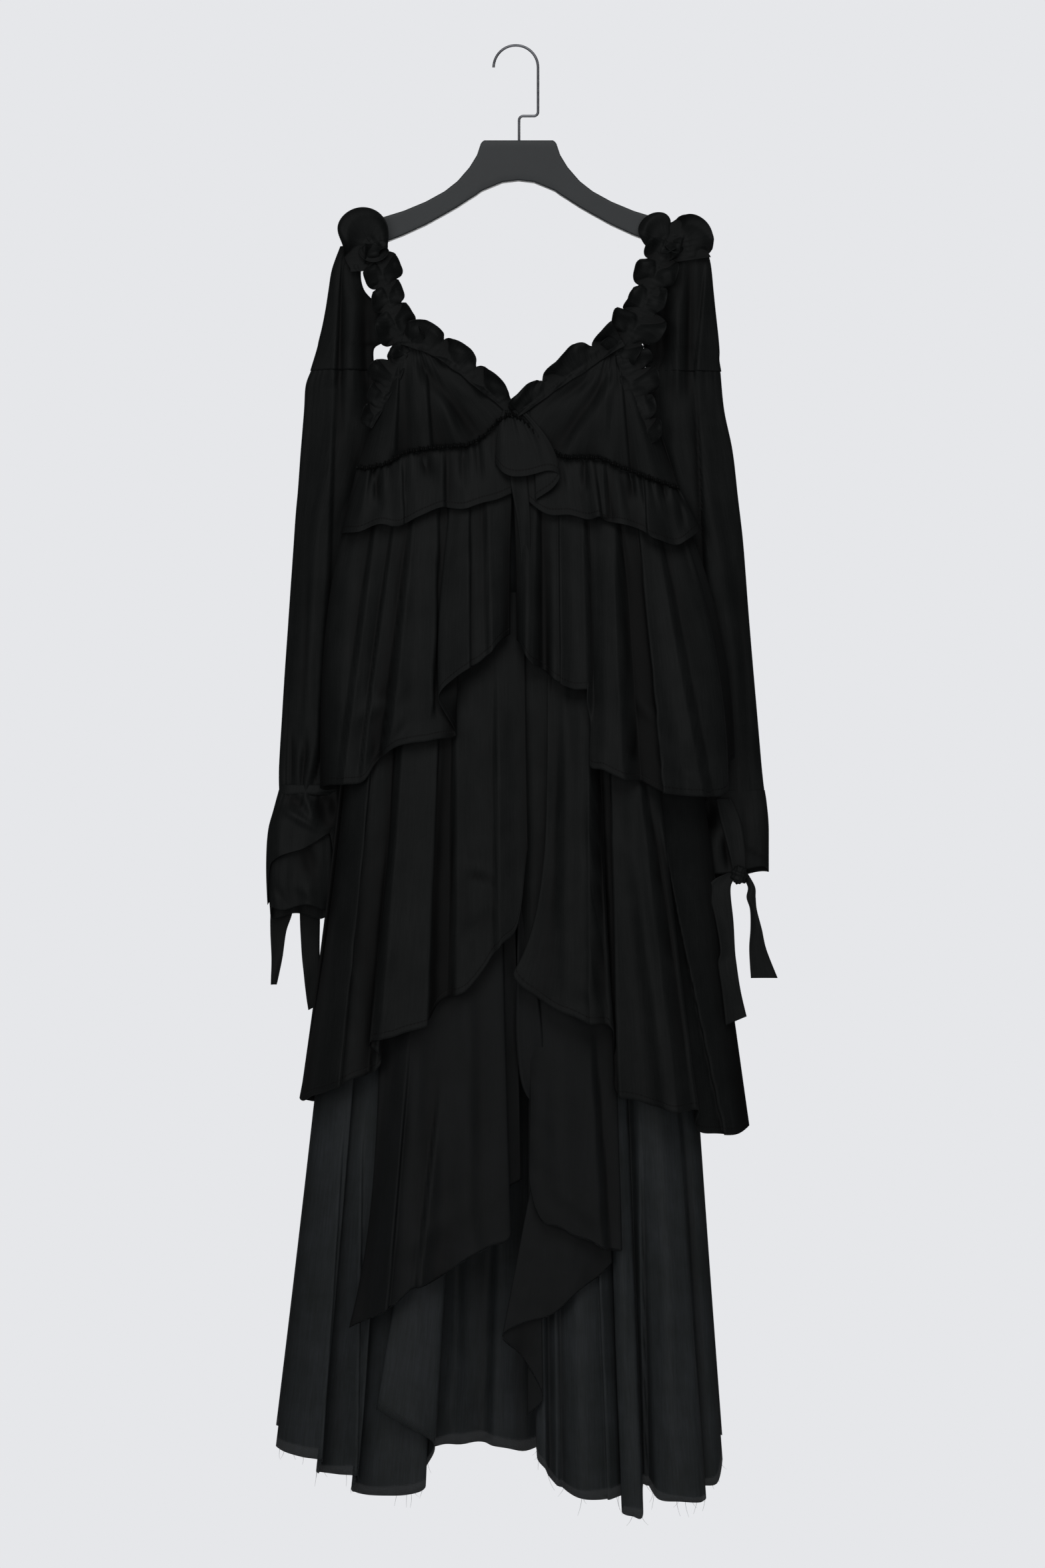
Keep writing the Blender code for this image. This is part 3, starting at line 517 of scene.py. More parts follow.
def hang(folds, seam, layer, side=FRONT, fall=steady, puff=0.0, hem=None, creases=(),
         gather=1.0, soft=1.2, lean=0.0, seed=1, steps=9, levels=60, frill=1.2):
    """The points of a panel gathered on its seam, whose folds open towards the hem.

    The main folds come from the table, whose hems are read in the hanger's plane, as from
    the height and distance of the eye. Gathers fade away below the seam, softer uneven
    folds run down the whole panel, and the creases are laid on top. A positive lean tips
    the crests to the right, so that their faces are broad and end in an abrupt edge.
    """
    fold = along(folds, steps)
    t = np.linspace(0, 1, levels + 1)[:, None]
    v = 0.45 * t + 0.55 * (0.5 - 0.5 * np.cos(math.pi * t))     # closer rows at both ends
    start = seam(fold.seam_x) + np.zeros_like(fold.seam_x)
    end = hem(fold.hem_x) if hem else fold.hem_drop
    if side == FRONT and not hem:
        end = end - (end - EYE_DROP) * fold.out * fullness(end, side) / EYE_AWAY
    share = np.linspace(0, 1, len(fold.seam_x))
    held_ends = np.sin(math.pi * share) ** 0.35
    run = np.concatenate([[0], np.cumsum(np.hypot(np.diff(fold.hem_x), np.diff(fold.out)))])
    drop = start + (end - start) * v
    below = drop - start
    drop = drop + frill * v ** 6 * unrest(run, 0 * v, HEM_WAVE, seed + 3)
    x = fold.seam_x + (fold.hem_x - fold.seam_x) * fall(v) ** np.maximum(fold.late, 0.8)
    out = resting_out(fold.seam_x, layer) * (1 - v) + fold.out * v - SIDE_OUT
    out = out + puff * np.sin(math.pi * v) * np.sin(math.pi * share)
    fine = gather * np.exp(-below / GATHER_FADE) * unrest(run, 0.12 * below, GATHER_WAVE, seed)
    settled = (0.8 * gather * np.exp(-below / SETTLE_FADE)
               * unrest(run, 0.1 * below, SETTLE_WAVE, seed + 5))
    loose = soft * v ** 0.6 * (unrest(run, 0.08 * below, LOOSE_WAVE, seed + 1)
                               + 0.25 * unrest(run, 0.3 * below, RIPPLE_WAVE, seed + 2))
    crumple = 0.14 * soft * unrest(x, drop, CRUMPLE_WAVE, seed + 4)
    lift = fine + settled + loose + crumple + raise_creases(x, drop, creases)
    out = np.maximum(out + held_ends * lift, 0.05 - SIDE_OUT)
    x = x + lean * held_ends * v ** 0.5 * (out - even_out(out, 5 * steps))
    back = side * (SIDE_OUT + out * fullness(drop, side))
    return np.stack(np.broadcast_arrays(x, drop, back), axis=2)


for side, folds in CUPS.items():
    points = hang(folds, lambda x, side=side: APEX_DROP[side], APEX_LAYER[side],
                  puff=CUP_PUFF, hem=lambda x: seam_line(x) + SEAM_LAP,
                  creases=CUP_CREASES[side], gather=0.4, soft=0.7, seed=11, steps=12, levels=56,
                  frill=0.0)
    cloth(f"crepe_cup_{side}", points, CREPE, f"cup_{side}")


# The low back of the bodice: one crepe panel, straight along its top, gathered a little
# into its top edge and into the underbust seam.
BACK_TOP = 407.0
BACK_LAYER = Layer(9.0, -152, 154, 8)
BACK_SEAM_X, BACK_SEAM_DROP = (-171, 176), (454, 477)


def back_seam_line(x):
    """The drop of the underbust seam behind, which runs straight across."""
    return np.interp(x, BACK_SEAM_X, BACK_SEAM_DROP)


def even_folds(seam_x, hem_x, hem_drop, low, high, waves, side_out=SIDE_OUT, dip=0.0, seed=1):
    """Folds of a hidden back: crests and hollows in turn, of uneven depth."""
    draw = random.Random(seed)
    count = 2 * waves
    folds = [Fold(seam_x[0], hem_x[0], hem_drop[0], side_out)]
    for i in range(1, count):
        share = (i + 0.22 * math.sin(2.3 * i)) / count
        depth = low if i % 2 else high - 0.3 * (high - low) * abs(math.sin(1.7 * i))
        folds.append(Fold(*(pair[0] + (pair[1] - pair[0]) * share for pair in (seam_x, hem_x)),
                          hem_drop[0] + (hem_drop[1] - hem_drop[0]) * share
                          + 5 * math.sin(1.9 * i) + dip * math.sin(math.pi * share),
                          depth + draw.uniform(-0.8, 0.8)))
    folds.append(Fold(seam_x[1], hem_x[1], hem_drop[1], side_out))
    return folds


back_folds = even_folds(seam_x=(-152, 154), hem_x=BACK_SEAM_X, hem_drop=(453, 476), low=8,
                        high=12, waves=9)
points = hang(back_folds, lambda x: BACK_TOP, BACK_LAYER, BACK,
              hem=lambda x: back_seam_line(x) + SEAM_LAP, gather=0.5, soft=0.5, seed=21,
              steps=8, levels=16)
cloth("crepe_bodice_back", points, CREPE, "bodice_back")


# The straps: narrow double crepe bands that run from the back, over the hanger's arms,
# to the tops of the cups. They are sewn to both and lie flat on the arms.
Tape = namedtuple("Tape", "x drop back half slope", defaults=(0.0,))

TAPE_ROW = 6.0        # usual distance between the rows of a band's points
STRAP_HALF = 5.0
STRAP_WALL = 1.2
STRAP_BACK_PART = {
    "left": (Tape(-112, 411, 7.2, 5), Tape(-116, 345, 9.0, 5), Tape(-128, 300, 8.8, 5),
             Tape(-141, 250, 8.2, 5), Tape(-151, 216, 7.6, 5)),
    "right": (Tape(106, 411, 7.2, 5), Tape(110, 352, 9.0, 5), Tape(129, 300, 8.8, 5),
              Tape(145, 250, 8.2, 5), Tape(157, 216, 7.6, 5))}
STRAP_FRONT_PART = {
    "left": (Tape(-151, 216, -7.6, 5), Tape(-143, 240, -8.0, 5), Tape(-134, 274, -8.4, 5),
             Tape(-127, 300, -8.5, 5), Tape(-115, 331, -8.7, 5)),
    "right": (Tape(157, 216, -7.6, 5), Tape(148, 240, -8.0, 5), Tape(137, 269, -8.4, 5),
              Tape(129, 295, -8.5, 5), Tape(110, 341, -8.7, 5))}
STRAP_REST = {"left": -154.0, "right": 160.0}
ARM_SLOPE = {"left": -0.44, "right": 0.44}
ARM_DROP = 189.1
OVER_ARM = ((9.0, 7.3), (2.8, 7.2), (-0.2, 6.1), (-1.2, 4.0), (-1.2, 0.0), (-1.2, -4.0),
            (-0.2, -6.1), (2.8, -7.2), (9.0, -7.3))


def tape_points(tapes, steps=3, across=6, fold=0.0, seed=1):
    """The points of a flat band whose width runs across x, with a soft fold down it."""
    tape = along(tapes, steps)
    side = np.linspace(-1, 1, across + 1)[None, :]
    half, slope = tape.half[:, None], tape.slope[:, None]
    run = np.arange(len(tape.x))[:, None] * TAPE_ROW
    back = tape.back[:, None] + fold * np.cos(1.5 * side + 0.6 * np.sin(run / 40 + seed))
    return np.stack(np.broadcast_arrays(tape.x[:, None] + half * side,
                                        tape.drop[:, None] + half * slope * side, back), axis=2)


for side in ("left", "right"):
    over = tuple(Tape(STRAP_REST[side], ARM_DROP + drop, back, STRAP_HALF, ARM_SLOPE[side])
                 for drop, back in OVER_ARM)
    points = tape_points(STRAP_BACK_PART[side] + over + STRAP_FRONT_PART[side])
    cloth(f"crepe_strap_{side}", points, CREPE, f"strap_{side}",
          thick=STRAP_WALL, painted_fold_shade=0.0)


# Ruffles on the bodice: bias strips of crepe with narrow rolled edges, gathered hard onto
# the straps, the shoulders, the neckline and the armholes.
Edge = namedtuple("Edge", "x drop out height")

STRAP_RUFFLES = {
    "left": (Edge(-151, 214, 10.8, 16), Edge(-144, 244, 11.0, 19), Edge(-137, 274, 11.2, 22),
             Edge(-129, 302, 11.2, 23), Edge(-113, 330, 11.0, 22)),
    "right": (Edge(162, 212, 10.8, 18), Edge(152, 243, 11.0, 24), Edge(143, 269, 11.2, 26),
              Edge(133, 298, 11.2, 27), Edge(109, 336, 11.0, 24))}
SHOULDER_RUFFLES = {
    "left": (Edge(-164, 244, 9.9, 17), Edge(-165, 222, 10.2, 21), Edge(-161, 209, 10.4, 33),
             Edge(-154, 212, 10.4, 19), Edge(-150, 234, 10.4, 14)),
    "right": (Edge(153, 224, 10.4, 13), Edge(158, 208, 10.4, 30), Edge(168, 206, 10.4, 18),
              Edge(179, 206, 10.4, 23), Edge(184, 209, 10.4, 28), Edge(186, 218, 10.4, 29),
              Edge(188, 232, 10.0, 26))}
NECK_RUFFLES = {
    "left": (Edge(-122, 318, 14, 22), Edge(-92, 327, 15, 23), Edge(-60, 348, 15.5, 24),
             Edge(-34, 370, 15.5, 18), Edge(0, 399, 12.5, 15)),
    "right": (Edge(-2, 400, 13.0, 13), Edge(26, 379, 15.5, 20), Edge(52, 360, 15.5, 22),
              Edge(80, 341, 14.5, 23), Edge(114, 319, 14, 22))}
ARMHOLE_RUFFLES = {
    "left": (Edge(-120, 332, 12.8, 18), Edge(-132, 358, 13.8, 24), Edge(-144, 384, 12.8, 21),
             Edge(-158, 412, 9.0, 12)),
    "right": (Edge(116, 334, 12.6, 30), Edge(123, 362, 14.5, 33), Edge(132, 398, 15.5, 25),
              Edge(146, 430, 13.5, 10))}
STRAP_WAVES = dict(waves=4.2, swing=9, lip=1, levels=36, slant=2.0)
SHOULDER_WAVES = dict(swing=8, lip=0.9, levels=36, steps=30, fold_over=0.03, uneven=0.06)
SHOULDER_LOBES = {"left": dict(waves=1.2, start=3.1, depth=0.25),
                  "right": dict(waves=1.8, start=-0.7, depth=0.3)}
NECK_WAVES = dict(swing=10, uneven=0.2)
NECK_LOBES = {"left": dict(waves=3.15, start=-1.4), "right": dict(waves=2.1, start=-0.5)}
ARMHOLE_WAVES = dict(waves=3.4, swing=8)
ARMHOLE_TURN = {"left": dict(turn=-1), "right": dict(turn=1)}
RUFFLE_SEED = {"left": 31, "right": 37}
RUFFLE_WALL = 0.6
LOBE_DRIFT = 48       # the lobes drift apart and together over about this length,
LOBE_CHANGE = 36      # and change in size over this one
HEM_RIPPLE = 16       # widths of the free edge's small unevenness,
FACE_DENT = 15        # of the dents in the lobes' faces,
FACE_CRUSH = 24       # and of the places where they are pressed in
DRAWN_STITCH = 7      # length of the puckers that the gathering stitch draws


def path_across(edge):
    """Unit directions across and along a ruffle's sewn edge, in the front plane."""
    run_x, run_drop = np.gradient(edge.x), np.gradient(edge.drop)
    length = np.hypot(run_x, run_drop)
    return run_drop / length, -run_x / length, run_x / length, run_drop / length


def ruffle(edges, waves, swing, turn=1, lip=0.3, fold_over=0.12, roll=0.1, depth=0.62,
           steps=40, levels=24, slant=1.0, start=0.0, uneven=0.3, seed=1):
    """The points of a gathered strip whose free edge meanders in round, uneven lobes.

    The edge runs forward and back faster than along, so that each lobe overhangs the
    hollows beside it, and the tops of the lobes in front roll over. The lip is the part
    that stands below the seam, and at 1 the strip is sewn down its middle. Turn is the
    side of the seam that the strip stands on.
    """
    edge = along(edges, steps)
    across_x, across_drop, along_x, along_drop = path_across(edge)
    run = np.concatenate([[0], np.cumsum(np.hypot(np.diff(edge.x), np.diff(edge.drop)))])
    wave_length = run[-1] / waves
    v = np.linspace(-lip, 1, levels + 1)[:, None]
    rise = np.abs(v)
    beat = 2 * math.pi * run / wave_length + start + slant * v
    beat = beat + 1.6 * uneven * unrest(run, 0 * run, LOBE_DRIFT, seed)
    beat = beat + np.where(v < 0, 2.3 * np.minimum(4 * rise, 1), 0)     # the lip's own lobes
    size = 1 + uneven * np.clip(unrest(run, 0 * run, LOBE_CHANGE, seed + 1), -1.2, 1.2)
    front = np.sin(beat + 0.55 * np.sin(beat))
    bulge = swing * size * rise ** 0.8 * front
    over = np.clip((rise - 0.45) / 0.55, 0, 1) ** 2 * np.clip(front + 0.3, 0, 1)
    lobe = np.abs(np.cos(0.5 * beat - math.pi / 4)) ** 0.85
    valley = 1.06 - depth * rise * (1 - lobe)
    height = edge.height * size ** 0.5 * valley
    reach = turn * np.sign(v) * (height * (rise - roll * over)
                                 + 0.6 * rise * unrest(run, 8 * v, HEM_RIPPLE, seed + 4))
    stitches = 2 * math.pi * run / DRAWN_STITCH + 2 * np.sin(run / 9)
    fine = 0.35 * np.exp(-rise * 5) * np.sin(stitches)
    fine = fine + 1.5 * rise ** 0.5 * unrest(run, 24 * v, FACE_DENT, seed + 2)
    fine = fine - 1.8 * rise ** 0.5 * np.abs(unrest(run, 20 * v, FACE_CRUSH, seed + 6))
    slide = -wave_length * rise ** 1.2 * fold_over * np.cos(beat)
    ends = np.clip(np.sin(math.pi * run / run[-1]) * 4, 0, 1)
    x = edge.x + across_x * reach + along_x * slide * ends
    drop = edge.drop + across_drop * reach + along_drop * slide * ends
    back = -(edge.out + np.maximum(0.55 * swing * rise + bulge + 3 * over + fine, -0.4))
    return np.stack(np.broadcast_arrays(x, drop, back), axis=2)


for side, seed in RUFFLE_SEED.items():
    sewn = (
        ("strap_ruffle", STRAP_RUFFLES, STRAP_WAVES),
        ("shoulder_ruffle", SHOULDER_RUFFLES, SHOULDER_WAVES | SHOULDER_LOBES[side]),
        ("neck_ruffle", NECK_RUFFLES, NECK_WAVES | NECK_LOBES[side]),
        ("armhole_ruffle", ARMHOLE_RUFFLES, ARMHOLE_WAVES | ARMHOLE_TURN[side]))
    for kind, table, shape in sewn:
        points = ruffle(table[side], seed=seed, **shape)
        cloth(f"crepe_{kind}_{side}", points, CREPE, f"{kind}_{side}",
              both_edges=shape.get("lip", 0) > 0.5, thick=RUFFLE_WALL, painted_fold_shade=0.7)


# The underbust seam: its gathers are drawn up on a corded edge, a puckered line, dark in its
# black crepe and in painted shade, that runs round the bodice, in crepe turned over the cord
# and stitched through.
CORD_RADIUS = 2.4
CORD_LEFT, CORD_RIGHT = -172.0, 177.0
CORD_PAINTED_SHADE = 0.7     # painted shade, for the shadow of the pieces beside it
CORD_OUT = {FRONT: 14.2, BACK: 12.5}
PUCKER = 4.6          # length of one pucker along it
CORD_SIDES = 10
CORD_STEP = 0.8


def sewn_cord(name, side):
    """A thin puckered tube of crepe along the underbust seam."""
    x = np.arange(CORD_LEFT, CORD_RIGHT + 0.1, CORD_STEP)
    drop = seam_line(x) if side == FRONT else back_seam_line(x)
    drop = even_out(drop[None, :], 15)[0]
    share = (2 * x - x[0] - x[-1]) / (x[-1] - x[0])
    out = CORD_OUT[side] * np.clip(1 - np.abs(share) ** 8, 0.05, None) * fullness(drop, side)
    beat = 2 * math.pi * x / PUCKER + 1.4 * np.sin(x / 11) + np.sin(x / 5)
    radius = CORD_RADIUS * (1 + 0.35 * np.sin(beat))
    turn = np.linspace(0, 2 * math.pi, CORD_SIDES, endpoint=False)[:, None]
    points = np.stack(np.broadcast_arrays(
        x + 0.5 * np.cos(beat) + 0 * turn, drop + 0.6 * np.sin(beat / 2) + radius * np.cos(turn),
        side * (out + radius * (1 + np.sin(turn)))), axis=2)
    columns = len(x)
    faces = [(i * columns + j, i * columns + j + 1, (i + 1) % CORD_SIDES * columns + j + 1,
              (i + 1) % CORD_SIDES * columns + j)
             for i in range(CORD_SIDES) for j in range(columns - 1)]
    faces += [[i * columns for i in range(CORD_SIDES)],
              [i * columns + columns - 1 for i in reversed(range(CORD_SIDES))]]
    place = np.stack([points[..., 0], points[..., 2], -points[..., 1]], axis=2) * MM
    place = place.reshape(-1, 3)
    flat = place[np.concatenate(faces)][:, [0, 2]]
    # The cord gets painted shade all along it.
    piece = new_piece(name, place.tolist(), faces, flat, CREPE,
                      hollow=np.full(len(place), CORD_PAINTED_SHADE))
    piece.data.shade_smooth()
    piece.select_set(True)
    bpy.ops.object.mode_set(mode="EDIT")
    bpy.ops.mesh.select_all(action="SELECT")
    bpy.ops.mesh.normals_make_consistent(inside=False)
    bpy.ops.object.mode_set(mode="OBJECT")
    piece.select_set(False)
    finish_piece(piece, name, None)


sewn_cord("crepe_seam_cord_front", FRONT)
sewn_cord("crepe_seam_cord_back", BACK)


# The underbust ruffle: two gathered crepe flounces and the back one, with a knot of cloth
# falling as a small cascade where the fronts meet.
BUST_LAYER = Layer(11.0, -171, 176, 8)
BUST_RUFFLES = {
    "left": (
        Fold(-171, -189, 526, 0.4), Fold(-168, -187, 526, 9), Fold(-158, -176, 523, 21),
        Fold(-142, -150, 519, 26), Fold(-124, -126, 516, 26), Fold(-102, -103, 507, 29),
        Fold(-78, -79, 499, 26), Fold(-54, -50, 497, 28), Fold(-30, -24, 490, 26),
        Fold(-6, -4, 483, 22)),
    "right": (
        Fold(-1, 4, 484, 20), Fold(20, 25, 499, 25), Fold(46, 52, 508, 26), Fold(66, 74, 509, 28),
        Fold(80, 92, 507, 32), Fold(90, 93, 512, 24), Fold(108, 114, 517, 28),
        Fold(126, 134, 521, 26), Fold(140, 152, 532, 31), Fold(154, 170, 538, 24),
        Fold(165, 185, 533, 22), Fold(172, 197, 524, 9), Fold(176, 200, 520, 0.4))}
BUST_CREASES = {
    "left": (
        Crease(-152, 458, -146, 498, 4.5, -4.5), Crease(-160, 462, -166, 505, 5, 2.5),
        Pleat(-123, 442, -120, 512, -30, 4), Crease(-98, 440, -92, 466, 6, -5),
        Crease(-112, 446, -108, 500, 7, 2.6), Pleat(-76, 430, -76, 505, -26, 4),
        Crease(-59, 432, -56, 476, 3.5, -4.5), Crease(-41, 426, -38, 468, 3.5, -3.5),
        Crease(-24, 412, -22, 450, 4, -3)),
    "right": (
        Crease(50, 446, 52, 480, 4, -3), Crease(73, 446, 74, 478, 3.5, -4),
        Pleat(96, 448, 98, 506, -30, 5), Crease(123, 458, 125, 488, 4, -4.5),
        Pleat(138, 466, 142, 524, 26, 4), Crease(158, 474, 160, 490, 3.5, -4.5),
        Crease(176, 482, 180, 526, 5, -5))}
BUST_LEAN = {"left": 0.5, "right": -0.5}
KNOT_TOP = 394.0
KNOT_LAYER = Layer(13.3, -60, 60, 8)
BUST_CASCADE = (
    Fold(-14, -22, 452, 22), Fold(-10, -12, 461, 28), Fold(-5, 10, 464, 30), Fold(1, 34, 458, 29),
    Fold(6, 47, 463, 26), Fold(10, 40, 476, 28), Fold(14, 21, 490, 27))


def soon(v):
    """Folds that spread over most of their way in the upper part of the panel."""
    return 1 - (1 - v) ** 2


for side, folds in BUST_RUFFLES.items():
    points = hang(folds, seam_line, BUST_LAYER, creases=BUST_CREASES[side], gather=1.3,
                  soft=0.7, lean=BUST_LEAN[side], seed=41, steps=10, levels=30)
    cloth(f"crepe_bust_flounce_{side}", points, CREPE_HEMMED, f"bust_ruffle_{side}")
back_folds = even_folds(seam_x=BACK_SEAM_X, hem_x=(-189, 200), hem_drop=(526, 522), low=18,
                        high=25, waves=11)
points = hang(back_folds, back_seam_line, BUST_LAYER, BACK, gather=1.5, soft=1.0, seed=43,
              steps=8, levels=22)
cloth("crepe_bust_flounce_back", points, CREPE_HEMMED, "bust_ruffle_back")
points = hang(BUST_CASCADE, lambda x: KNOT_TOP, KNOT_LAYER, fall=soon, gather=0.6, soft=0.8,
              seed=47, steps=14, levels=40)
cloth("crepe_bust_knot", points, CREPE_HEMMED, "bust_cascade")


# The knot's tail: a narrow folded end of crepe that comes out of the knot and hangs
# between the fronts.
KNOT_TAIL = (
    Tape(2, 452, -19, 8), Tape(4, 476, -22.5, 9), Tape(8, 510, -26, 7), Tape(10, 545, -27, 5),
    Tape(9, 572, -27, 2.5))

points = tape_points(KNOT_TAIL, steps=12, across=8, fold=1.8, seed=3)
cloth("crepe_knot_tail", points, CREPE, None, painted_fold_shade=0.0)


# Tier one: two crepe fronts and a back with a topstitched hem, gathered onto the underbust
# seam. Its fronts are cut in steps that fall towards the sides.
TIER_ONE_LAYER = Layer(8.9, -164, 168, 6)
TIER_ONE = {
    "left": (
        Fold(-164, -211, 800, 0.4), Fold(-157, -203, 798, 10), Fold(-146, -188, 797, 21),
        Fold(-132, -165, 794, 27), Fold(-119, -146, 773, 28), Fold(-106, -125, 754, 34),
        Fold(-90, -94, 750, 37), Fold(-77, -60, 742, 31, 2.5), Fold(-67, -84, 703, 43, 3),
        Fold(-44, -54, 673, 40), Fold(-24, -26, 653, 38), Fold(2, -6, 634, 27)),
    "right": (
        Fold(-8, 1, 640, 27), Fold(10, 14, 656, 36), Fold(26, 27, 674, 30), Fold(38, 43, 686, 37),
        Fold(52, 62, 694, 33), Fold(66, 84, 697, 28), Fold(74, 92, 734, 30),
        Fold(80, 79, 774, 39), Fold(92, 98, 781, 43), Fold(104, 125, 793, 36),
        Fold(118, 148, 804, 37), Fold(132, 171, 806, 39), Fold(146, 199, 809, 34),
        Fold(158, 226, 805, 22), Fold(164, 226, 779, 9), Fold(168, 236, 767, 0.4))}
TIER_ONE_CREASES = {
    "left": (
        Pleat(-146, 462, -190, 790, 22, 7), Pleat(-126, 470, -164, 760, 18, 4),
        Pleat(-108, 470, -138, 740, 38, 7), Pleat(-82, 480, -88, 700, -24, 6),
        Pleat(-50, 450, -50, 690, -26, 6), Pleat(-34, 440, -30, 660, 26, 6),
        Crease(-180, 730, -128, 700, 9, 3), Crease(-150, 770, -112, 730, 8, -3)),
    "right": (
        Pleat(26, 440, 22, 700, -20, 7), Pleat(46, 450, 50, 690, 18, 4),
        Pleat(74, 470, 80, 700, -20, 5), Pleat(108, 470, 124, 800, -42, 11),
        Pleat(128, 480, 160, 800, 24, 7), Pleat(146, 480, 206, 800, -26, 7),
        Crease(150, 745, 186, 762, 7, 2.6), Crease(158, 770, 196, 790, 6, -2.4),
        Crease(120, 705, 164, 735, 8, 2.2))}
TIER_SEED = {"left": 51, "right": 57}
TIER_LEAN = {"left": 0.75, "right": -1.0}


def early(v):
    """Folds that spread at once below the seam."""
    return 1 - (1 - v) ** 3


def hidden_creases(seed, left, right, top, bottom, count):
    """Creases for a side that the photograph doesn't show, as uneven as those in front."""
    draw = random.Random(seed)
    creases = []
    for _ in range(count):
        x, drop = draw.uniform(left, right), draw.uniform(top, bottom)
        length = draw.uniform(0.15, 0.45) * (bottom - top)
        creases.append(Crease(x, drop, x * 1.12 + draw.uniform(-12, 12),
                              min(drop + length, bottom), draw.uniform(6, 11),
                              draw.choice((-1, 1)) * draw.uniform(2, 4)))
    return creases


for side, folds in TIER_ONE.items():
    points = hang(folds, seam_line, TIER_ONE_LAYER, fall=early if side == "left" else soon,
                  gather=1.4, soft=1.1, lean=TIER_LEAN[side], creases=TIER_ONE_CREASES[side],
                  seed=TIER_SEED[side], steps=11, levels=60)
    cloth(f"crepe_tier_one_{side}", points, CREPE_HEMMED, f"tier_one_{side}")
back_folds = even_folds(seam_x=(-164, 168), hem_x=(-211, 236), hem_drop=(800, 767), low=20,
                        high=33, waves=9)
back_creases = hidden_creases(seed=1, left=-150, right=150, top=480, bottom=780, count=12)
points = hang(back_folds, back_seam_line, TIER_ONE_LAYER, BACK, fall=soon, gather=1.5,
              soft=1.2, creases=back_creases, seed=91, steps=7, levels=50)
cloth("crepe_tier_one_back", points, CREPE_HEMMED, "tier_one_back")


# Tier two: crepe again, with a topstitched hem, gathered onto the base skirt under tier
# one. Its fronts fall in steps from the opening, with folds that turn back on themselves.
TIER_TWO_TOP = 590.0
TIER_TWO_LAYERS = {"left": Layer(12.9, -174, 177, 8), "right": Layer(12.3, -174, 177, 8),
                   "back": Layer(11.0, -174, 177, 8)}
TIER_TWO = {
    "left": (
        Fold(-174, -233, 1135, 0.4, 1.3), Fold(-170, -225, 1139, 12, 1.2),
        Fold(-162, -210, 1131, 25), Fold(-150, -188, 1120, 36), Fold(-138, -156, 1108, 34),
        Fold(-127, -142, 1094, 34), Fold(-116, -154, 1077, 46), Fold(-98, -126, 1067, 47),
        Fold(-80, -97, 1058, 46), Fold(-70, -78, 1034, 38), Fold(-50, -50, 1016, 40),
        Fold(-26, -20, 974, 41), Fold(-6, 2, 946, 38), Fold(9, 13, 866, 32)),
    "right": (
        Fold(2, 2, 998, 22), Fold(16, 16, 988, 27), Fold(30, 30, 978, 28),
        Fold(42, 32, 977, 34, 2), Fold(34, -1, 1001, 42, 5), Fold(44, 21, 1027, 45, 3),
        Fold(56, 47, 1042, 49, 2), Fold(66, 74, 1052, 48), Fold(76, 103, 1063, 46),
        Fold(84, 99, 1096, 34), Fold(92, 106, 1131, 38), Fold(106, 134, 1139, 43),
        Fold(122, 164, 1148, 49), Fold(136, 194, 1150, 43), Fold(146, 190, 1167, 31),
        Fold(157, 206, 1174, 20), Fold(170, 236, 1174, 9, 0.8), Fold(177, 252, 1165, 0.4, 0.8))}
TIER_TWO_CREASES = {
    "left": (
        Crease(-150, 760, -206, 1110, 10, 4), Pleat(-152, 740, -192, 1130, -34, 8),
        Pleat(-119, 690, -150, 1080, 46, 6), Pleat(-80, 690, -96, 1060, -40, 6),
        Pleat(-66, 680, -66, 1040, 40, 5), Pleat(-22, 660, -22, 960, 26, 5),
        Crease(-52, 893, -26, 900, 4, -3.5), Crease(-50, 886, -30, 889, 5, 2.5),
        Crease(-196, 960, -170, 1010, 10, 3), Crease(-60, 960, -20, 930, 9, -2)),
    "right": (
        Pleat(82, 700, 92, 1090, -46, 10), Crease(58, 720, 62, 1030, 14, 3),
        Pleat(100, 740, 112, 1130, 40, 8), Pleat(132, 760, 186, 1150, -46, 11),
        Crease(132, 800, 182, 1130, 9, -3), Pleat(152, 830, 222, 1160, 22, 7),
        Crease(96, 850, 128, 870, 12, 2.0), Crease(62, 1000, 96, 1024, 12, 1.8))}


def late(v):
    """Folds that spread towards the hem."""
    return v ** 1.35


for side, folds in TIER_TWO.items():
    points = hang(folds, lambda x: TIER_TWO_TOP, TIER_TWO_LAYERS[side], fall=late, soft=1.2,
                  lean=TIER_LEAN[side], creases=TIER_TWO_CREASES[side],
                  seed=TIER_SEED[side] + 10, steps=11, levels=70)
    cloth(f"crepe_tier_two_{side}", points, CREPE_HEMMED, f"tier_two_{side}")
back_folds = even_folds(seam_x=(-174, 177), hem_x=(-233, 252), hem_drop=(1135, 1165), low=28,
                        high=39, waves=9)
back_creases = hidden_creases(seed=2, left=-160, right=160, top=640, bottom=1120, count=14)
points = hang(back_folds, lambda x: TIER_TWO_TOP, TIER_TWO_LAYERS["back"], BACK, fall=late,
              soft=1.4, creases=back_creases, seed=93, steps=7, levels=60)
cloth("crepe_tier_two_back", points, CREPE_HEMMED, "tier_two_back")


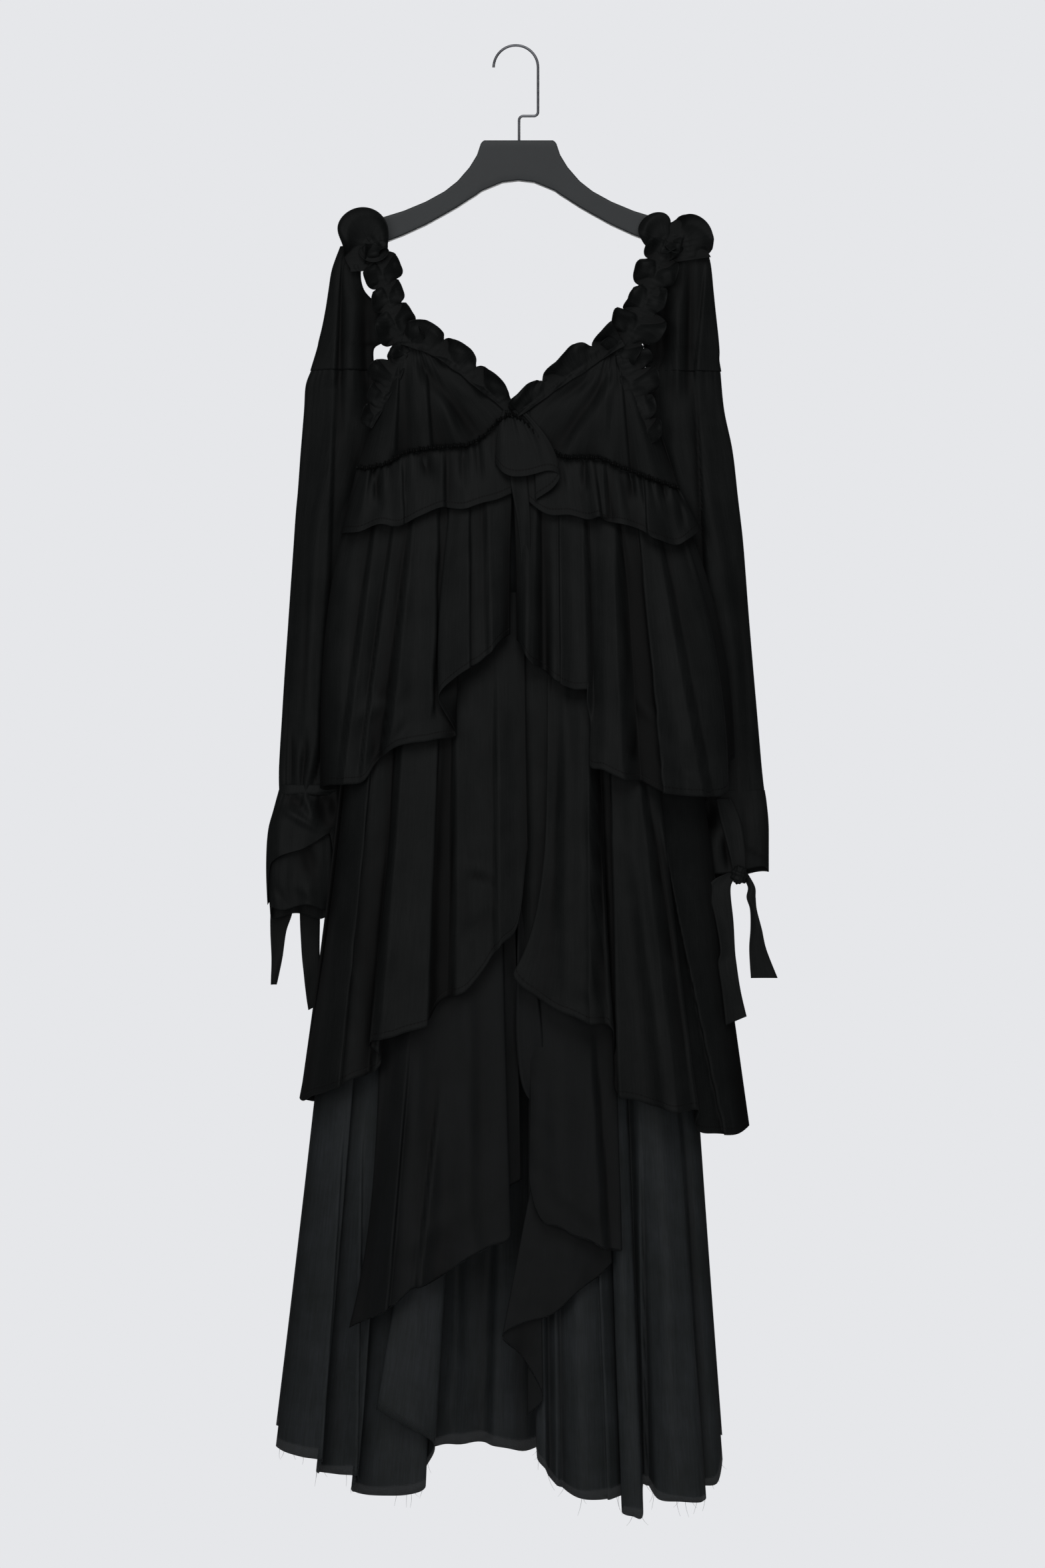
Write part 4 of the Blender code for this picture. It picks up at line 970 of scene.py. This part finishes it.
# Tier three: doubled chiffon with raw edges, two fronts, a back and the cascade that falls
# under the right front. Chiffon is plain-woven, thin and open, a little blue in its black,
# and its raw edge lets light through.
TIER_THREE_TOP = 840.0
TIER_THREE_LAYERS = {"left": Layer(17.9, -200, 200, 8), "right": Layer(17.0, -200, 200, 8),
                     "back": Layer(13.4, -200, 200, 8)}
TIER_THREE = {
    "left": (
        Fold(-140, -152, 1361, 31), Fold(-134, -177, 1384, 36, 3.2),
        Fold(-118, -152, 1374, 42, 2.4), Fold(-94, -118, 1349, 46, 1.4), Fold(-72, -82, 1331, 43),
        Fold(-50, -48, 1308, 46), Fold(-34, -26, 1296, 41), Fold(-20, -6, 1282, 38),
        Fold(-12, -12, 1240, 31), Fold(-3, 6, 1224, 27)),
    "right": (
        Fold(4, 7, 1073, 26), Fold(12, 22, 1131, 31), Fold(22, 14, 1215, 34),
        Fold(34, 27, 1267, 40), Fold(52, 51, 1279, 44), Fold(72, 77, 1290, 40),
        Fold(96, 112, 1301, 38), Fold(106, 103, 1284, 34))}
TIER_THREE_CREASES = {
    "left": (Pleat(-112, 1060, -138, 1370, -26, 5), Crease(-94, 1080, -120, 1330, 14, -2),
             Pleat(-80, 1110, -108, 1345, 34, 4),
             Crease(-40, 1000, -36, 1280, 12, -3), Crease(-120, 1290, -60, 1250, 11, 2.2)),
    "right": (Crease(46, 1080, 50, 1250, 14, 2.2), Pleat(82, 1060, 98, 1300, -40, 5),
              Crease(58, 1235, 92, 1262, 10, 1.8))}
CASCADE_TOP = 1100.0
CASCADE_LAYER = Layer(22.3, -120, 240, 8)
CASCADE = (
    Fold(14, 12, 1478, 31), Fold(22, 29, 1458, 33), Fold(32, 6, 1414, 32),
    Fold(42, -14, 1391, 36), Fold(52, 27, 1374, 35), Fold(66, 56, 1355, 37),
    Fold(80, 84, 1330, 32), Fold(94, 103, 1312, 29))

# Darker than the skirt's single chiffon: partly the doubled layer's own denser look, partly
# painted shade that offsets the stronger light falling on tier three.
CHIFFON_COLOUR = 0x060707
CHIFFON_WORN = 0x090A0B
CHIFFON_GRAIN = 1.0   # its threads are 0.3 mm apart; drawn coarse enough to show
TIER_SHEER = 2.0      # height of the strip above a raw edge that lets light through
SHEER_COVER = 0.89    # how much its threads still cover there
RAG_SIZE = 70.0       # the strip's height changes over about this length


def raw_chiffon(name, colour, worn, sheer):
    """Plain-woven chiffon, a little sheer in the strip above its raw edge."""
    material = woven_cloth(name, colour, worn, CHIFFON_GRAIN, roughness=0.58, gloss=0.05,
                           sheen=0.01)
    tree = material.node_tree
    shader = tree.nodes["Principled BSDF"]
    edge_run = add_node(tree, "Attribute", {}, attribute_name="hem").outputs["Fac"]
    cut = add_node(tree, "UVMap", {}, uv_map="cut").outputs["UV"]
    ragged = add_node(tree, "TexNoise", {
        "Vector": cut, "Scale": 1 / (RAG_SIZE * MM), "Detail": 1.0}).outputs["Fac"]
    reach = add_node(tree, "Math", {
        0: ragged, 1: 2 * sheer * MM}, operation="MULTIPLY").outputs["Value"]
    body = add_node(tree, "Math", {0: edge_run, 1: reach},
                    operation="DIVIDE").outputs["Value"]
    cover = add_node(tree, "MapRange", {
        "Value": body, "From Min": 0.8, "From Max": 1.1, "To Min": SHEER_COVER, "To Max": 1.0})
    tree.links.new(cover.outputs["Result"], shader.inputs["Alpha"])
    return material


CHIFFON = Fabric(raw_chiffon("chiffon_blue_black_doubled", CHIFFON_COLOUR, CHIFFON_WORN,
                             TIER_SHEER), "chiffon_blue_black")

for side, folds in TIER_THREE.items():
    points = hang(folds, lambda x: TIER_THREE_TOP, TIER_THREE_LAYERS[side], soft=1.3,
                  lean=0.6 * TIER_LEAN[side], creases=TIER_THREE_CREASES[side],
                  seed=TIER_SEED[side] + 20, steps=12, levels=58)
    cloth(f"chiffon_tier_three_{side}", points, CHIFFON, f"tier_three_{side}")
points = hang(CASCADE, lambda x: CASCADE_TOP, CASCADE_LAYER, soft=1.2, seed=83, steps=12,
              levels=50)
cloth("chiffon_tier_three_cascade", points, CHIFFON, "tier_three_cascade")
back_folds = even_folds(seam_x=(-160, 160), hem_x=(-205, 190), hem_drop=(1372, 1380), low=25,
                        high=34, waves=8, side_out=22)
back_creases = hidden_creases(seed=3, left=-150, right=150, top=900, bottom=1350, count=12)
points = hang(back_folds, lambda x: TIER_THREE_TOP, TIER_THREE_LAYERS["back"], BACK, soft=1.4,
              creases=back_creases, seed=95, steps=7, levels=50)
cloth("chiffon_tier_three_back", points, CHIFFON, "tier_three_back")


# The inner tail: a narrow, raw-edged chiffon point that comes from behind tier two's fronts
# and shows below them where they part.
INNER_TAIL = (
    Tape(9, 850, -19, 6), Tape(10, 930, -31, 8), Tape(12, 1010, -40, 11), Tape(14, 1060, -42, 14),
    Tape(17, 1105, -42, 13), Tape(19, 1126, -42, 9), Tape(20, 1136, -42, 2))

points = tape_points(INNER_TAIL, steps=12, across=8, fold=2.0, seed=9)
cloth("chiffon_inner_tail", points, CHIFFON, None, painted_fold_shade=0.0)


# The base skirt: three long panels of single chiffon under the tiers, gathered onto the
# underbust seam, open at the centre front, with a raw hem. The left front turns back on
# itself as a lapel.
# Lighter than tier three's doubled chiffon: partly the single layer's own thinner look, partly
# painted light that makes up for the weaker lamp light this low.
SKIRT_COLOUR = 0x121414
SKIRT_WORN = 0x1B1D1F
SKIRT_SHEER = 11.0
SKIRT_LAYER = Layer(6.8, -157, 161, 4)
# Painted shade in the fold hollows, strongest on the right front, where less light falls.
SKIRT_PAINTED_SHADE = {"left": 0.4, "right": 0.6, "back": 0.5}
SKIRT = {
    "left": (
        Fold(-157, -259, 1511, 0.4), Fold(-151, -249, 1517, 8), Fold(-143, -229, 1523, 16),
        Fold(-135, -209, 1526, 19), Fold(-130, -213, 1538, 11), Fold(-118, -192, 1541, 16),
        Fold(-106, -170, 1545, 22), Fold(-100, -175, 1559, 13), Fold(-86, -148, 1565, 21),
        Fold(-68, -118, 1564, 24), Fold(-54, -98, 1557, 21), Fold(-44, -95, 1538, 15),
        Fold(-32, -88, 1510, 30), Fold(-18, -121, 1489, 35), Fold(-5, -149, 1472, 32)),
    "right": (
        Fold(2, 22, 1514, 20), Fold(10, 24, 1526, 26), Fold(18, 33, 1536, 29),
        Fold(26, 36, 1546, 22), Fold(36, 56, 1562, 27), Fold(48, 76, 1569, 32),
        Fold(62, 100, 1568, 26), Fold(74, 117, 1565, 17), Fold(80, 114, 1583, 26),
        Fold(88, 126, 1587, 31), Fold(96, 137, 1586, 27), Fold(102, 134, 1552, 17),
        Fold(112, 153, 1569, 27), Fold(126, 178, 1571, 31), Fold(138, 202, 1570, 24),
        Fold(143, 199, 1556, 14), Fold(152, 217, 1551, 9), Fold(161, 223, 1524, 0.4))}
SKIRT_CREASES = {
    "left": (Pleat(-184, 1150, -209, 1530, -40, 6), Pleat(-164, 1150, -172, 1550, -18, 5),
             Crease(-120, 1250, -150, 1530, 12, 3), Crease(-118, 1460, -96, 1496, 8, 3)),
    "right": (Pleat(44, 1280, 46, 1540, -12, 5), Pleat(84, 1180, 100, 1570, 18, 5),
              Pleat(134, 1150, 138, 1570, -14, 5), Pleat(176, 1130, 202, 1580, -46, 6),
              Crease(160, 1180, 170, 1540, 12, 3))}
SKIRT_LEAN = {"left": 0.5, "right": -0.5}
SKIRT_THREADS = 26    # loose threads on the hem of each front
THREAD_SEED = {"left": 5, "right": 6}

SKIRT_CHIFFON = Fabric(raw_chiffon("chiffon_blue_black_single", SKIRT_COLOUR, SKIRT_WORN,
                                   SKIRT_SHEER), "chiffon_blue_black")


def pick_spots(points, count, seed):
    """Places along the hem of a panel, chosen unevenly."""
    draw = random.Random(seed)
    return [points[-1, draw.randrange(4, points.shape[1] - 4)] for _ in range(count)]


def skirt_fall(v):
    """Folds of the base skirt, which spread a little late."""
    return v ** 1.25


thread_spots = []
for side, folds in SKIRT.items():
    points = hang(folds, seam_line, SKIRT_LAYER, fall=skirt_fall, gather=0.6, soft=1.3,
                  lean=SKIRT_LEAN[side], creases=SKIRT_CREASES[side], seed=101, steps=11,
                  levels=70, frill=0.35)
    thread_spots += pick_spots(points, SKIRT_THREADS, THREAD_SEED[side])
    cloth(f"chiffon_skirt_front_{side}", points, SKIRT_CHIFFON, f"skirt_front_{side}",
          painted_fold_shade=SKIRT_PAINTED_SHADE[side])
back_folds = even_folds(seam_x=(-157, 161), hem_x=(-259, 223), hem_drop=(1488, 1500), low=9,
                        high=23, waves=10, dip=20)
back_creases = hidden_creases(seed=4, left=-150, right=150, top=800, bottom=1480, count=14)
points = hang(back_folds, back_seam_line, SKIRT_LAYER, BACK, fall=skirt_fall, gather=0.6,
              soft=1.2, creases=back_creases, seed=105, steps=7, levels=70)
cloth("chiffon_skirt_back", points, SKIRT_CHIFFON, "skirt_back", painted_fold_shade=SKIRT_PAINTED_SHADE["back"])


# Loose warp threads: single strands of the chiffon, thin as hair, that have frayed out of
# the skirt's raw hems and hang and curl from them.
THREAD_RADIUS = 0.22
THREAD_STEPS = 6
THREAD_HEM = 0.05     # read as a distance from the hem, so that they aren't sheer


def frayed_threads(name, hems):
    """Thin three-sided strands that hang and curl from points of the hems."""
    corners, faces = [], []
    draw = random.Random(7)
    for x, drop, back in hems:
        length, bend = draw.uniform(4, 20), draw.uniform(-6, 6)
        lean, curl = draw.uniform(-3, 3), draw.uniform(-5, 5)
        first = len(corners)
        for step in range(THREAD_STEPS + 1):
            t = step / THREAD_STEPS
            middle = (x + lean * t + curl * t * t, drop - 1.5 + length * t,
                      back + bend * t * t * 0.3)
            for side in range(3):
                turn = 2 * math.pi * side / 3
                radius = THREAD_RADIUS * (1 - 0.6 * t)
                corners.append(((middle[0] + radius * math.cos(turn)) * MM,
                                (middle[2] + radius * math.sin(turn)) * MM, -middle[1] * MM))
        for step in range(THREAD_STEPS):
            for side in range(3):
                a, b = first + 3 * step + side, first + 3 * step + (side + 1) % 3
                faces.append((b, a, a + 3, b + 3))
        last = first + 3 * THREAD_STEPS
        faces += [(first, first + 1, first + 2), (last + 2, last + 1, last)]
    flat = np.array(corners)[np.concatenate(faces)][:, [0, 2]]
    piece = new_piece(name, corners, faces, flat, SKIRT_CHIFFON,
                      hem=np.full(len(corners), THREAD_HEM))
    piece.data.shade_smooth()
    finish_piece(piece, name, None)


frayed_threads("chiffon_frayed_threads", thread_spots)


# The sleeves: an upper piece of crepe, a longer lower piece gathered onto it above the
# elbow, and a flared cuff below the tied wrist.
Ring = namedtuple("Ring", "drop outer_x inner_x back depth fold")

SLEEVES = {
    "sleeve_upper_left": (
        Ring(216, -190, -158, -1, 9, 0.3), Ring(240, -199, -167, 2, 14, 0.6),
        Ring(262, -203, -164, 5, 17, 0.8), Ring(280, -206, -148, 8, 18, 1.0),
        Ring(300, -210, -141, 11, 19, 1.2), Ring(316, -214, -143, 13, 19, 1.0),
        Ring(325, -216, -154, 14, 19, 1.0), Ring(348, -223, -153, 15, 20, 0.8)),
    "sleeve_lower_left": (
        Ring(338, -220, -155, 15, 14, 0.6), Ring(347, -222, -153, 15, 17, 0.8),
        Ring(364, -228, -150, 16, 23, 1.4), Ring(390, -230, -148, 18, 23, 2.0),
        Ring(434, -234, -152, 21, 24, 2.2), Ring(478, -237, -168, 23, 24, 2.2),
        Ring(523, -241, -184, 24, 24, 2.2), Ring(667, -251, -197, 24, 25, 2.4),
        Ring(770, -257, -190, 20, 22, 2.0), Ring(809, -257, -187, 18, 11, 1.2)),
    "sleeve_upper_right": (
        Ring(216, 206, 164, -1, 9, 0.3), Ring(236, 211, 160, 2, 14, 0.6),
        Ring(262, 214, 152, 5, 17, 0.8), Ring(288, 217, 143, 9, 19, 1.0),
        Ring(316, 220, 138, 12, 20, 1.2), Ring(328, 221, 140, 14, 19, 1.0),
        Ring(337, 221, 142, 15, 20, 0.8), Ring(349, 223, 140, 15, 21, 0.8)),
    "sleeve_lower_right": (
        Ring(338, 220, 142, 15, 14, 0.6), Ring(350, 222, 140, 15, 18, 0.8),
        Ring(391, 226, 140, 18, 23, 2.0), Ring(434, 235, 146, 21, 24, 2.2),
        Ring(484, 241, 164, 23, 24, 2.2), Ring(534, 247, 186, 26, 24, 2.2),
        Ring(600, 252, 199, 28, 24, 2.2), Ring(667, 258, 208, 30, 25, 2.0),
        Ring(772, 267, 208, 28, 22, 1.4), Ring(809, 271, 207, 24, 16, 0.8))}
CUFFS = {
    "cuff_frill_left": (
        Ring(803, -258, -185, 18, 16, 1.0), Ring(826, -264, -185, 17, 22, 1.4),
        Ring(852, -270, -186, 16, 26, 1.8), Ring(886, -272, -190, 16, 28, 2.4),
        Ring(926, -271, -196, 16, 30, 3.0)),
    "cuff_frill_right": (
        Ring(803, 271, 199, 24, 17, 0.6), Ring(820, 273, 197, 23, 21, 0.7),
        Ring(850, 275, 197, 21, 26, 0.9), Ring(897, 275, 198, 20, 28, 1.2))}
CUFF_CREASES = {
    "cuff_frill_left": (
        Crease(-210, 810, -198, 842, 11, -9), Crease(-246, 810, -232, 820, 7, -4),
        Crease(-250, 824, -212, 846, 5, 5), Crease(-229, 808, -218, 836, 4, 4),
        Crease(-256, 840, -262, 878, 8, 3)),
    "cuff_frill_right": (
        Crease(210, 815, 211, 846, 9, -7), Crease(226, 854, 231, 886, 4, -5),
        Crease(212, 862, 213, 890, 8, 4), Crease(250, 866, 272, 878, 2.6, -3),
        Crease(248, 816, 252, 856, 5, -1.6))}
INNER_FRILL = (
    Ring(838, -265, -202, 17, 16, 0.8), Ring(886, -270, -199, 16, 19, 2.0),
    Ring(940, -268, -199, 16, 21, 3.2))
INNER_CREASES = (
    Crease(-226, 862, -222, 896, 9, -6), Crease(-250, 870, -254, 930, 7, 3),
    Crease(-240, 905, -206, 925, 5, 2.4), Crease(-262, 905, -250, 926, 4, -3))
SLEEVE_CREASES = {
    "left": (
        Pleat(-187, 214, -195, 352, -30, 4), Pleat(-195, 352, -203, 583, -32, 5),
        Pleat(-203, 560, -213, 742, -24, 4), Crease(-163, 262, -160, 386, 8, -6),
        Crease(-190, 240, -190, 420, 4, -3), Crease(-178, 290, -178, 400, 7, 3),
        Crease(-224, 560, -231, 720, 5, -2.4), Crease(-172, 420, -176, 540, 8, -3),
        Crease(-213, 742, -229, 802, 4, 3.4), Crease(-204, 742, -221, 802, 3.5, -5),
        Crease(-227, 745, -231, 800, 2.6, -4), Crease(-243, 745, -243, 800, 2.2, -3),
        Crease(-236, 757, -238, 799, 3.6, 2.4)),
    "right": (
        Pleat(206, 222, 195, 345, 28, 4), Pleat(195, 345, 207, 583, 34, 5),
        Pleat(207, 560, 214, 740, 26, 4), Crease(188, 235, 187, 372, 5, -4.5),
        Crease(175, 278, 174, 376, 5, 3.4), Crease(160, 272, 157, 348, 8, -6),
        Crease(198, 400, 207, 560, 6, -3.5), Crease(240, 560, 256, 740, 6, -2.0),
        Crease(170, 400, 176, 500, 8, 2.4), Crease(256, 640, 264, 790, 8, 1.6))}
CUFF_HEM = {
    "cuff_frill_left": dict(front_rise=60.0, side_rise=18.0, gather_top=0.6, hem_wave=2.0),
    "cuff_frill_right": dict(tilt=6.0, front_rise=6.0, gather_top=0.1, hem_wave=0.8)}


WRIST_PUCKER = {"left": 0.9, "right": 0.1}
SLEEVE_SWAY = 120.0   # the folds wander about over this length
SLEEVE_CRUMPLE = 40
TOP_FADE, END_FADE = 22.0, 26.0       # how far gathers run from a sewn end


def tube_points(rings, folds=5, tilt=0.0, front_rise=0.0, side_rise=0.0, gather_top=0.0,
                gather_end=0.0, deepen=1.0, hem_wave=0.0, around=120, steps=8, creases=(),
                seed=1):
    """The points of a flattened sleeve or cuff with folds of uneven depth down its length.

    Gathers pucker its sewn ends. The two rises lift the hem where it faces the viewer,
    evenly and towards its inner side.
    """
    ring = along(rings, steps)
    drop, back, depth, fold = (value[:, None] for value in (ring.drop, ring.back, ring.depth,
                                                            ring.fold))
    middle = ((ring.outer_x + ring.inner_x) / 2)[:, None]
    half = (np.abs(ring.outer_x - ring.inner_x) / 2)[:, None] - 0.5
    towards = 1 if rings[0].outer_x > rings[0].inner_x else -1
    turn = np.linspace(0, 2 * math.pi, around, endpoint=False)[None, :]
    share = np.linspace(0, 1, len(ring.drop))[:, None]
    sway = 0.35 * np.sin(drop / SLEEVE_SWAY + seed)
    wave = deepen * fold * (np.cos(folds * turn + sway)
                            + 0.5 * np.cos((folds - 2) * turn + 1.3 - 1.5 * sway + seed)
                            + 0.16 * np.cos((folds + 6) * turn + 0.4 + 2.2 * sway - seed))
    pucker = np.cos(23 * turn + 2 * np.sin(3 * turn)) + 0.6 * np.cos(37 * turn + 1.0)
    wave = wave + pucker * (gather_top * np.exp(-(drop - drop[0]) / TOP_FADE)
                            + gather_end * np.exp(-(drop[-1] - drop) / END_FADE))
    wave = wave + 0.5 * unrest(20 * turn, 0.5 * drop, SLEEVE_CRUMPLE, seed)
    reach = half + 0.3 * wave * np.abs(np.cos(turn))
    facing = np.clip(-1.8 * np.sin(turn), 0, 1)      # 1 where the sleeve faces the viewer
    facing = facing * facing * (3 - 2 * facing)
    rise = front_rise + side_rise * (-towards * np.cos(turn))
    fall = drop - towards * tilt * share * np.cos(turn) - rise * share ** 1.5 * facing
    fall = fall + hem_wave * share ** 3 * np.sin(4 * turn + seed)
    x = middle + reach * np.cos(turn)
    lift = raise_creases(x, fall, creases) * np.clip(2.5 * np.abs(np.sin(turn)), 0, 1)
    return np.stack(np.broadcast_arrays(
        x, fall, back + (depth / 2 + wave + lift) * np.sin(turn)), axis=2)


for number, (name, rings) in enumerate(SLEEVES.items()):
    lower, part = "lower" in name, name.split("_")[-1]
    points = tube_points(rings, folds=4, gather_top=0.6 if lower else 0.2,
                         gather_end=WRIST_PUCKER[part] if lower else 0.0, deepen=0.8,
                         seed=number + 2, steps=9 if lower else 7,
                         creases=SLEEVE_CREASES[part])
    cloth(f"crepe_{name}", points, CREPE, name, tube=True, painted_fold_shade=0.9,
          creases=SLEEVE_CREASES[part])
for number, (name, rings) in enumerate(CUFFS.items()):
    points = tube_points(rings, folds=3, seed=number + 7, steps=12,
                         creases=CUFF_CREASES[name], **CUFF_HEM[name])
    cloth(f"crepe_{name}", points, CREPE, name, tube=True, creases=CUFF_CREASES[name])
points = tube_points(INNER_FRILL, folds=5, front_rise=10.0, hem_wave=3.2, seed=4, steps=14,
                     creases=INNER_CREASES)
cloth("crepe_inner_frill_left", points, CREPE, None, tube=True, creases=INNER_CREASES)


# The wrist band: a narrow tape of crepe, wound round the left wrist and drawn tight over
# its gathered seam.
WRIST_BAND = (
    Ring(797, -257, -187, 18, 18, 1.0), Ring(803, -258, -186, 18, 20, 0.8),
    Ring(806, -258, -194, 18, 20, 0.8), Ring(808, -257, -195, 18, 18, 1.0))

points = tube_points(WRIST_BAND, steps=3, seed=5)
cloth("crepe_wrist_band_left", points, CREPE, None, tube=True, painted_fold_shade=0.0)


# The bow knot of the right wrist: a strip of crepe wound once over itself and drawn tight,
# so that it is a small lump with ridges.
KNOT_X, KNOT_DROP, KNOT_BACK = 241.0, 895.0, 0.0
KNOT_SIZE = (9.0, 8.0, 10.0)

bpy.ops.mesh.primitive_uv_sphere_add(segments=40, ring_count=24, radius=1.0)
knot = bpy.context.object
for corner in knot.data.vertices:
    x, y, z = corner.co
    wind = 1 + 0.10 * math.sin(9 * z + 3 * x) + 0.06 * math.sin(14 * x - 5 * z + 1)
    corner.co = Vector((KNOT_X + KNOT_SIZE[0] * x * wind, KNOT_BACK + KNOT_SIZE[1] * y * wind,
                        -KNOT_DROP + KNOT_SIZE[2] * z * wind)) * MM
knot.data.uv_layers[0].name = "cut"
for attribute in ("hem", "hollow"):
    knot.data.attributes.new(attribute, "FLOAT", "POINT")
knot.data.shade_smooth()
knot.data.materials.append(CREPE.material)
finish_piece(knot, "crepe_wrist_knot_right", None)


# The wrist ties: strips of crepe, folded double and turned, that are knotted round each
# cuff and hang with free ends.
TIES = {
    "tie_left_outer": (
        Tape(-238, 812, 26.4, 4), Tape(-241, 836, 28.5, 5), Tape(-246, 860, 29.5, 7),
        Tape(-253, 905, 31.5, 11), Tape(-255.5, 935, 31.5, 12), Tape(-259, 957, 31, 8.6),
        Tape(-260.5, 985, 31, 6), Tape(-263, 1007, 31, 4), Tape(-264, 1015, 31, 3)),
    "tie_left_inner": (
        Tape(-226, 813, 28.9, 4), Tape(-225, 836, 32.6, 5), Tape(-224, 860, 34.2, 7),
        Tape(-225, 925, 36.5, 11), Tape(-224.4, 974, 36.5, 10), Tape(-222.8, 1003, 35, 8.8),
        Tape(-222, 1027, 34.5, 7), Tape(-220.5, 1040, 34, 6, -0.5)),
    "tie_right_loop": (
        Tape(225, 812, 9, 8), Tape(233, 837, 7.3, 11), Tape(239, 868, 2.6, 9),
        Tape(242, 897, 0.6, 6)),
    "tie_right_inner": (
        Tape(237, 892, -0.9, 7), Tape(224, 900, -4, 11), Tape(220, 912, -6.5, 11.5),
        Tape(225, 945, -10, 9.5), Tape(228, 975, -13, 8), Tape(227.5, 990, -14, 10),
        Tape(231.5, 1017, -15.5, 10), Tape(237, 1051, -16, 11.3, -0.42)),
    "tie_right_outer": (
        Tape(246, 892, 2.2, 4), Tape(254.5, 907, 1.8, 3.8), Tape(254.3, 919, 1.5, 4.8),
        Tape(256.8, 932, 1.2, 3.6), Tape(259.7, 953, 1, 6.1), Tape(261.5, 975, 1, 9.2),
        Tape(268.5, 1006, 1, 14.5))}
TIE_WALL = 0.8

for number, (name, tapes) in enumerate(TIES.items()):
    points = tape_points(tapes, steps=14, across=8, fold=1.6, seed=number)
    cloth(f"crepe_{name}", points, CREPE, name, thick=TIE_WALL, painted_fold_shade=0.0)


# The studio: soft daylight from above and in front, a pale floor well below the hem, and
# the camera square on to the hanger.
PIXEL = 0.72          # size of one pixel of the photograph at the dress
PHOTO_WIDTH, PHOTO_HEIGHT = 1568, 2352
HOOK_PIXEL_X, HOOK_PIXEL_Y = 774, 70
VIEW_DISTANCE = EYE_AWAY * MM
SENSOR = 36.0
FLOOR_DROP = 2.1
FLOOR_RADIUS = 1.75
WALL_COLOUR = 0xE6E7EA
FLOOR_COLOUR = 0xE4E5E6
ROOM_LIGHT = 0.25

bpy.ops.mesh.primitive_circle_add(vertices=96, radius=FLOOR_RADIUS, fill_type="NGON",
                                  location=(0, 0, -FLOOR_DROP))
floor = bpy.context.object
floor.name = "studio_floor"
material, tree, shader = new_material("painted_floor_pale")
shader.inputs["Base Color"].default_value = linear(FLOOR_COLOUR)
shader.inputs["Roughness"].default_value = 0.8
floor.data.materials.append(material)

world = bpy.data.worlds.new("pale_room")
world.use_nodes = True
tree = world.node_tree
room = tree.nodes["Background"]
room.inputs["Color"].default_value = linear(WALL_COLOUR)
seen = add_node(tree, "LightPath", {}).outputs["Is Camera Ray"]
glow = add_node(tree, "MapRange", {"Value": seen, "To Min": ROOM_LIGHT, "To Max": 1.0})
tree.links.new(glow.outputs["Result"], room.inputs["Strength"])
bpy.context.scene.world = world

middle_x = (PHOTO_WIDTH / 2 - HOOK_PIXEL_X) * PIXEL * MM
middle_z = -(PHOTO_HEIGHT / 2 - HOOK_PIXEL_Y) * PIXEL * MM

Lamp = namedtuple("Lamp", "name x y z size power")
LAMPS = (Lamp("ceiling_soft", 0.1, -2.9, 1.9, 2.2, 112),
         Lamp("window_soft", -1.2, -2.6, -0.4, 1.6, 34),
         Lamp("room_fill", 0.5, -2.7, -1.3, 1.6, 26),
         Lamp("back_soft", 0.4, 2.8, -0.2, 1.8, 44))
for lamp in LAMPS:
    light = bpy.data.lights.new(lamp.name, "AREA")
    light.size = lamp.size
    light.energy = lamp.power
    place = bpy.data.objects.new(lamp.name, light)
    place.location = (lamp.x, lamp.y, lamp.z)
    aim = Vector((middle_x, 0, middle_z)) - place.location
    place.rotation_euler = aim.to_track_quat("-Z", "Y").to_euler()
    place.visible_camera = False
    bpy.context.collection.objects.link(place)

lens = bpy.data.cameras.new("camera")
lens.sensor_width = SENSOR
lens.lens = SENSOR * VIEW_DISTANCE / (PHOTO_HEIGHT * PIXEL * MM)
lens.clip_end = 60
camera = bpy.data.objects.new("camera", lens)
camera.location = (middle_x, -VIEW_DISTANCE, middle_z)
camera.rotation_euler = (math.pi / 2, 0, 0)
bpy.context.collection.objects.link(camera)
bpy.context.scene.camera = camera
bpy.context.scene.view_settings.view_transform = "Standard"
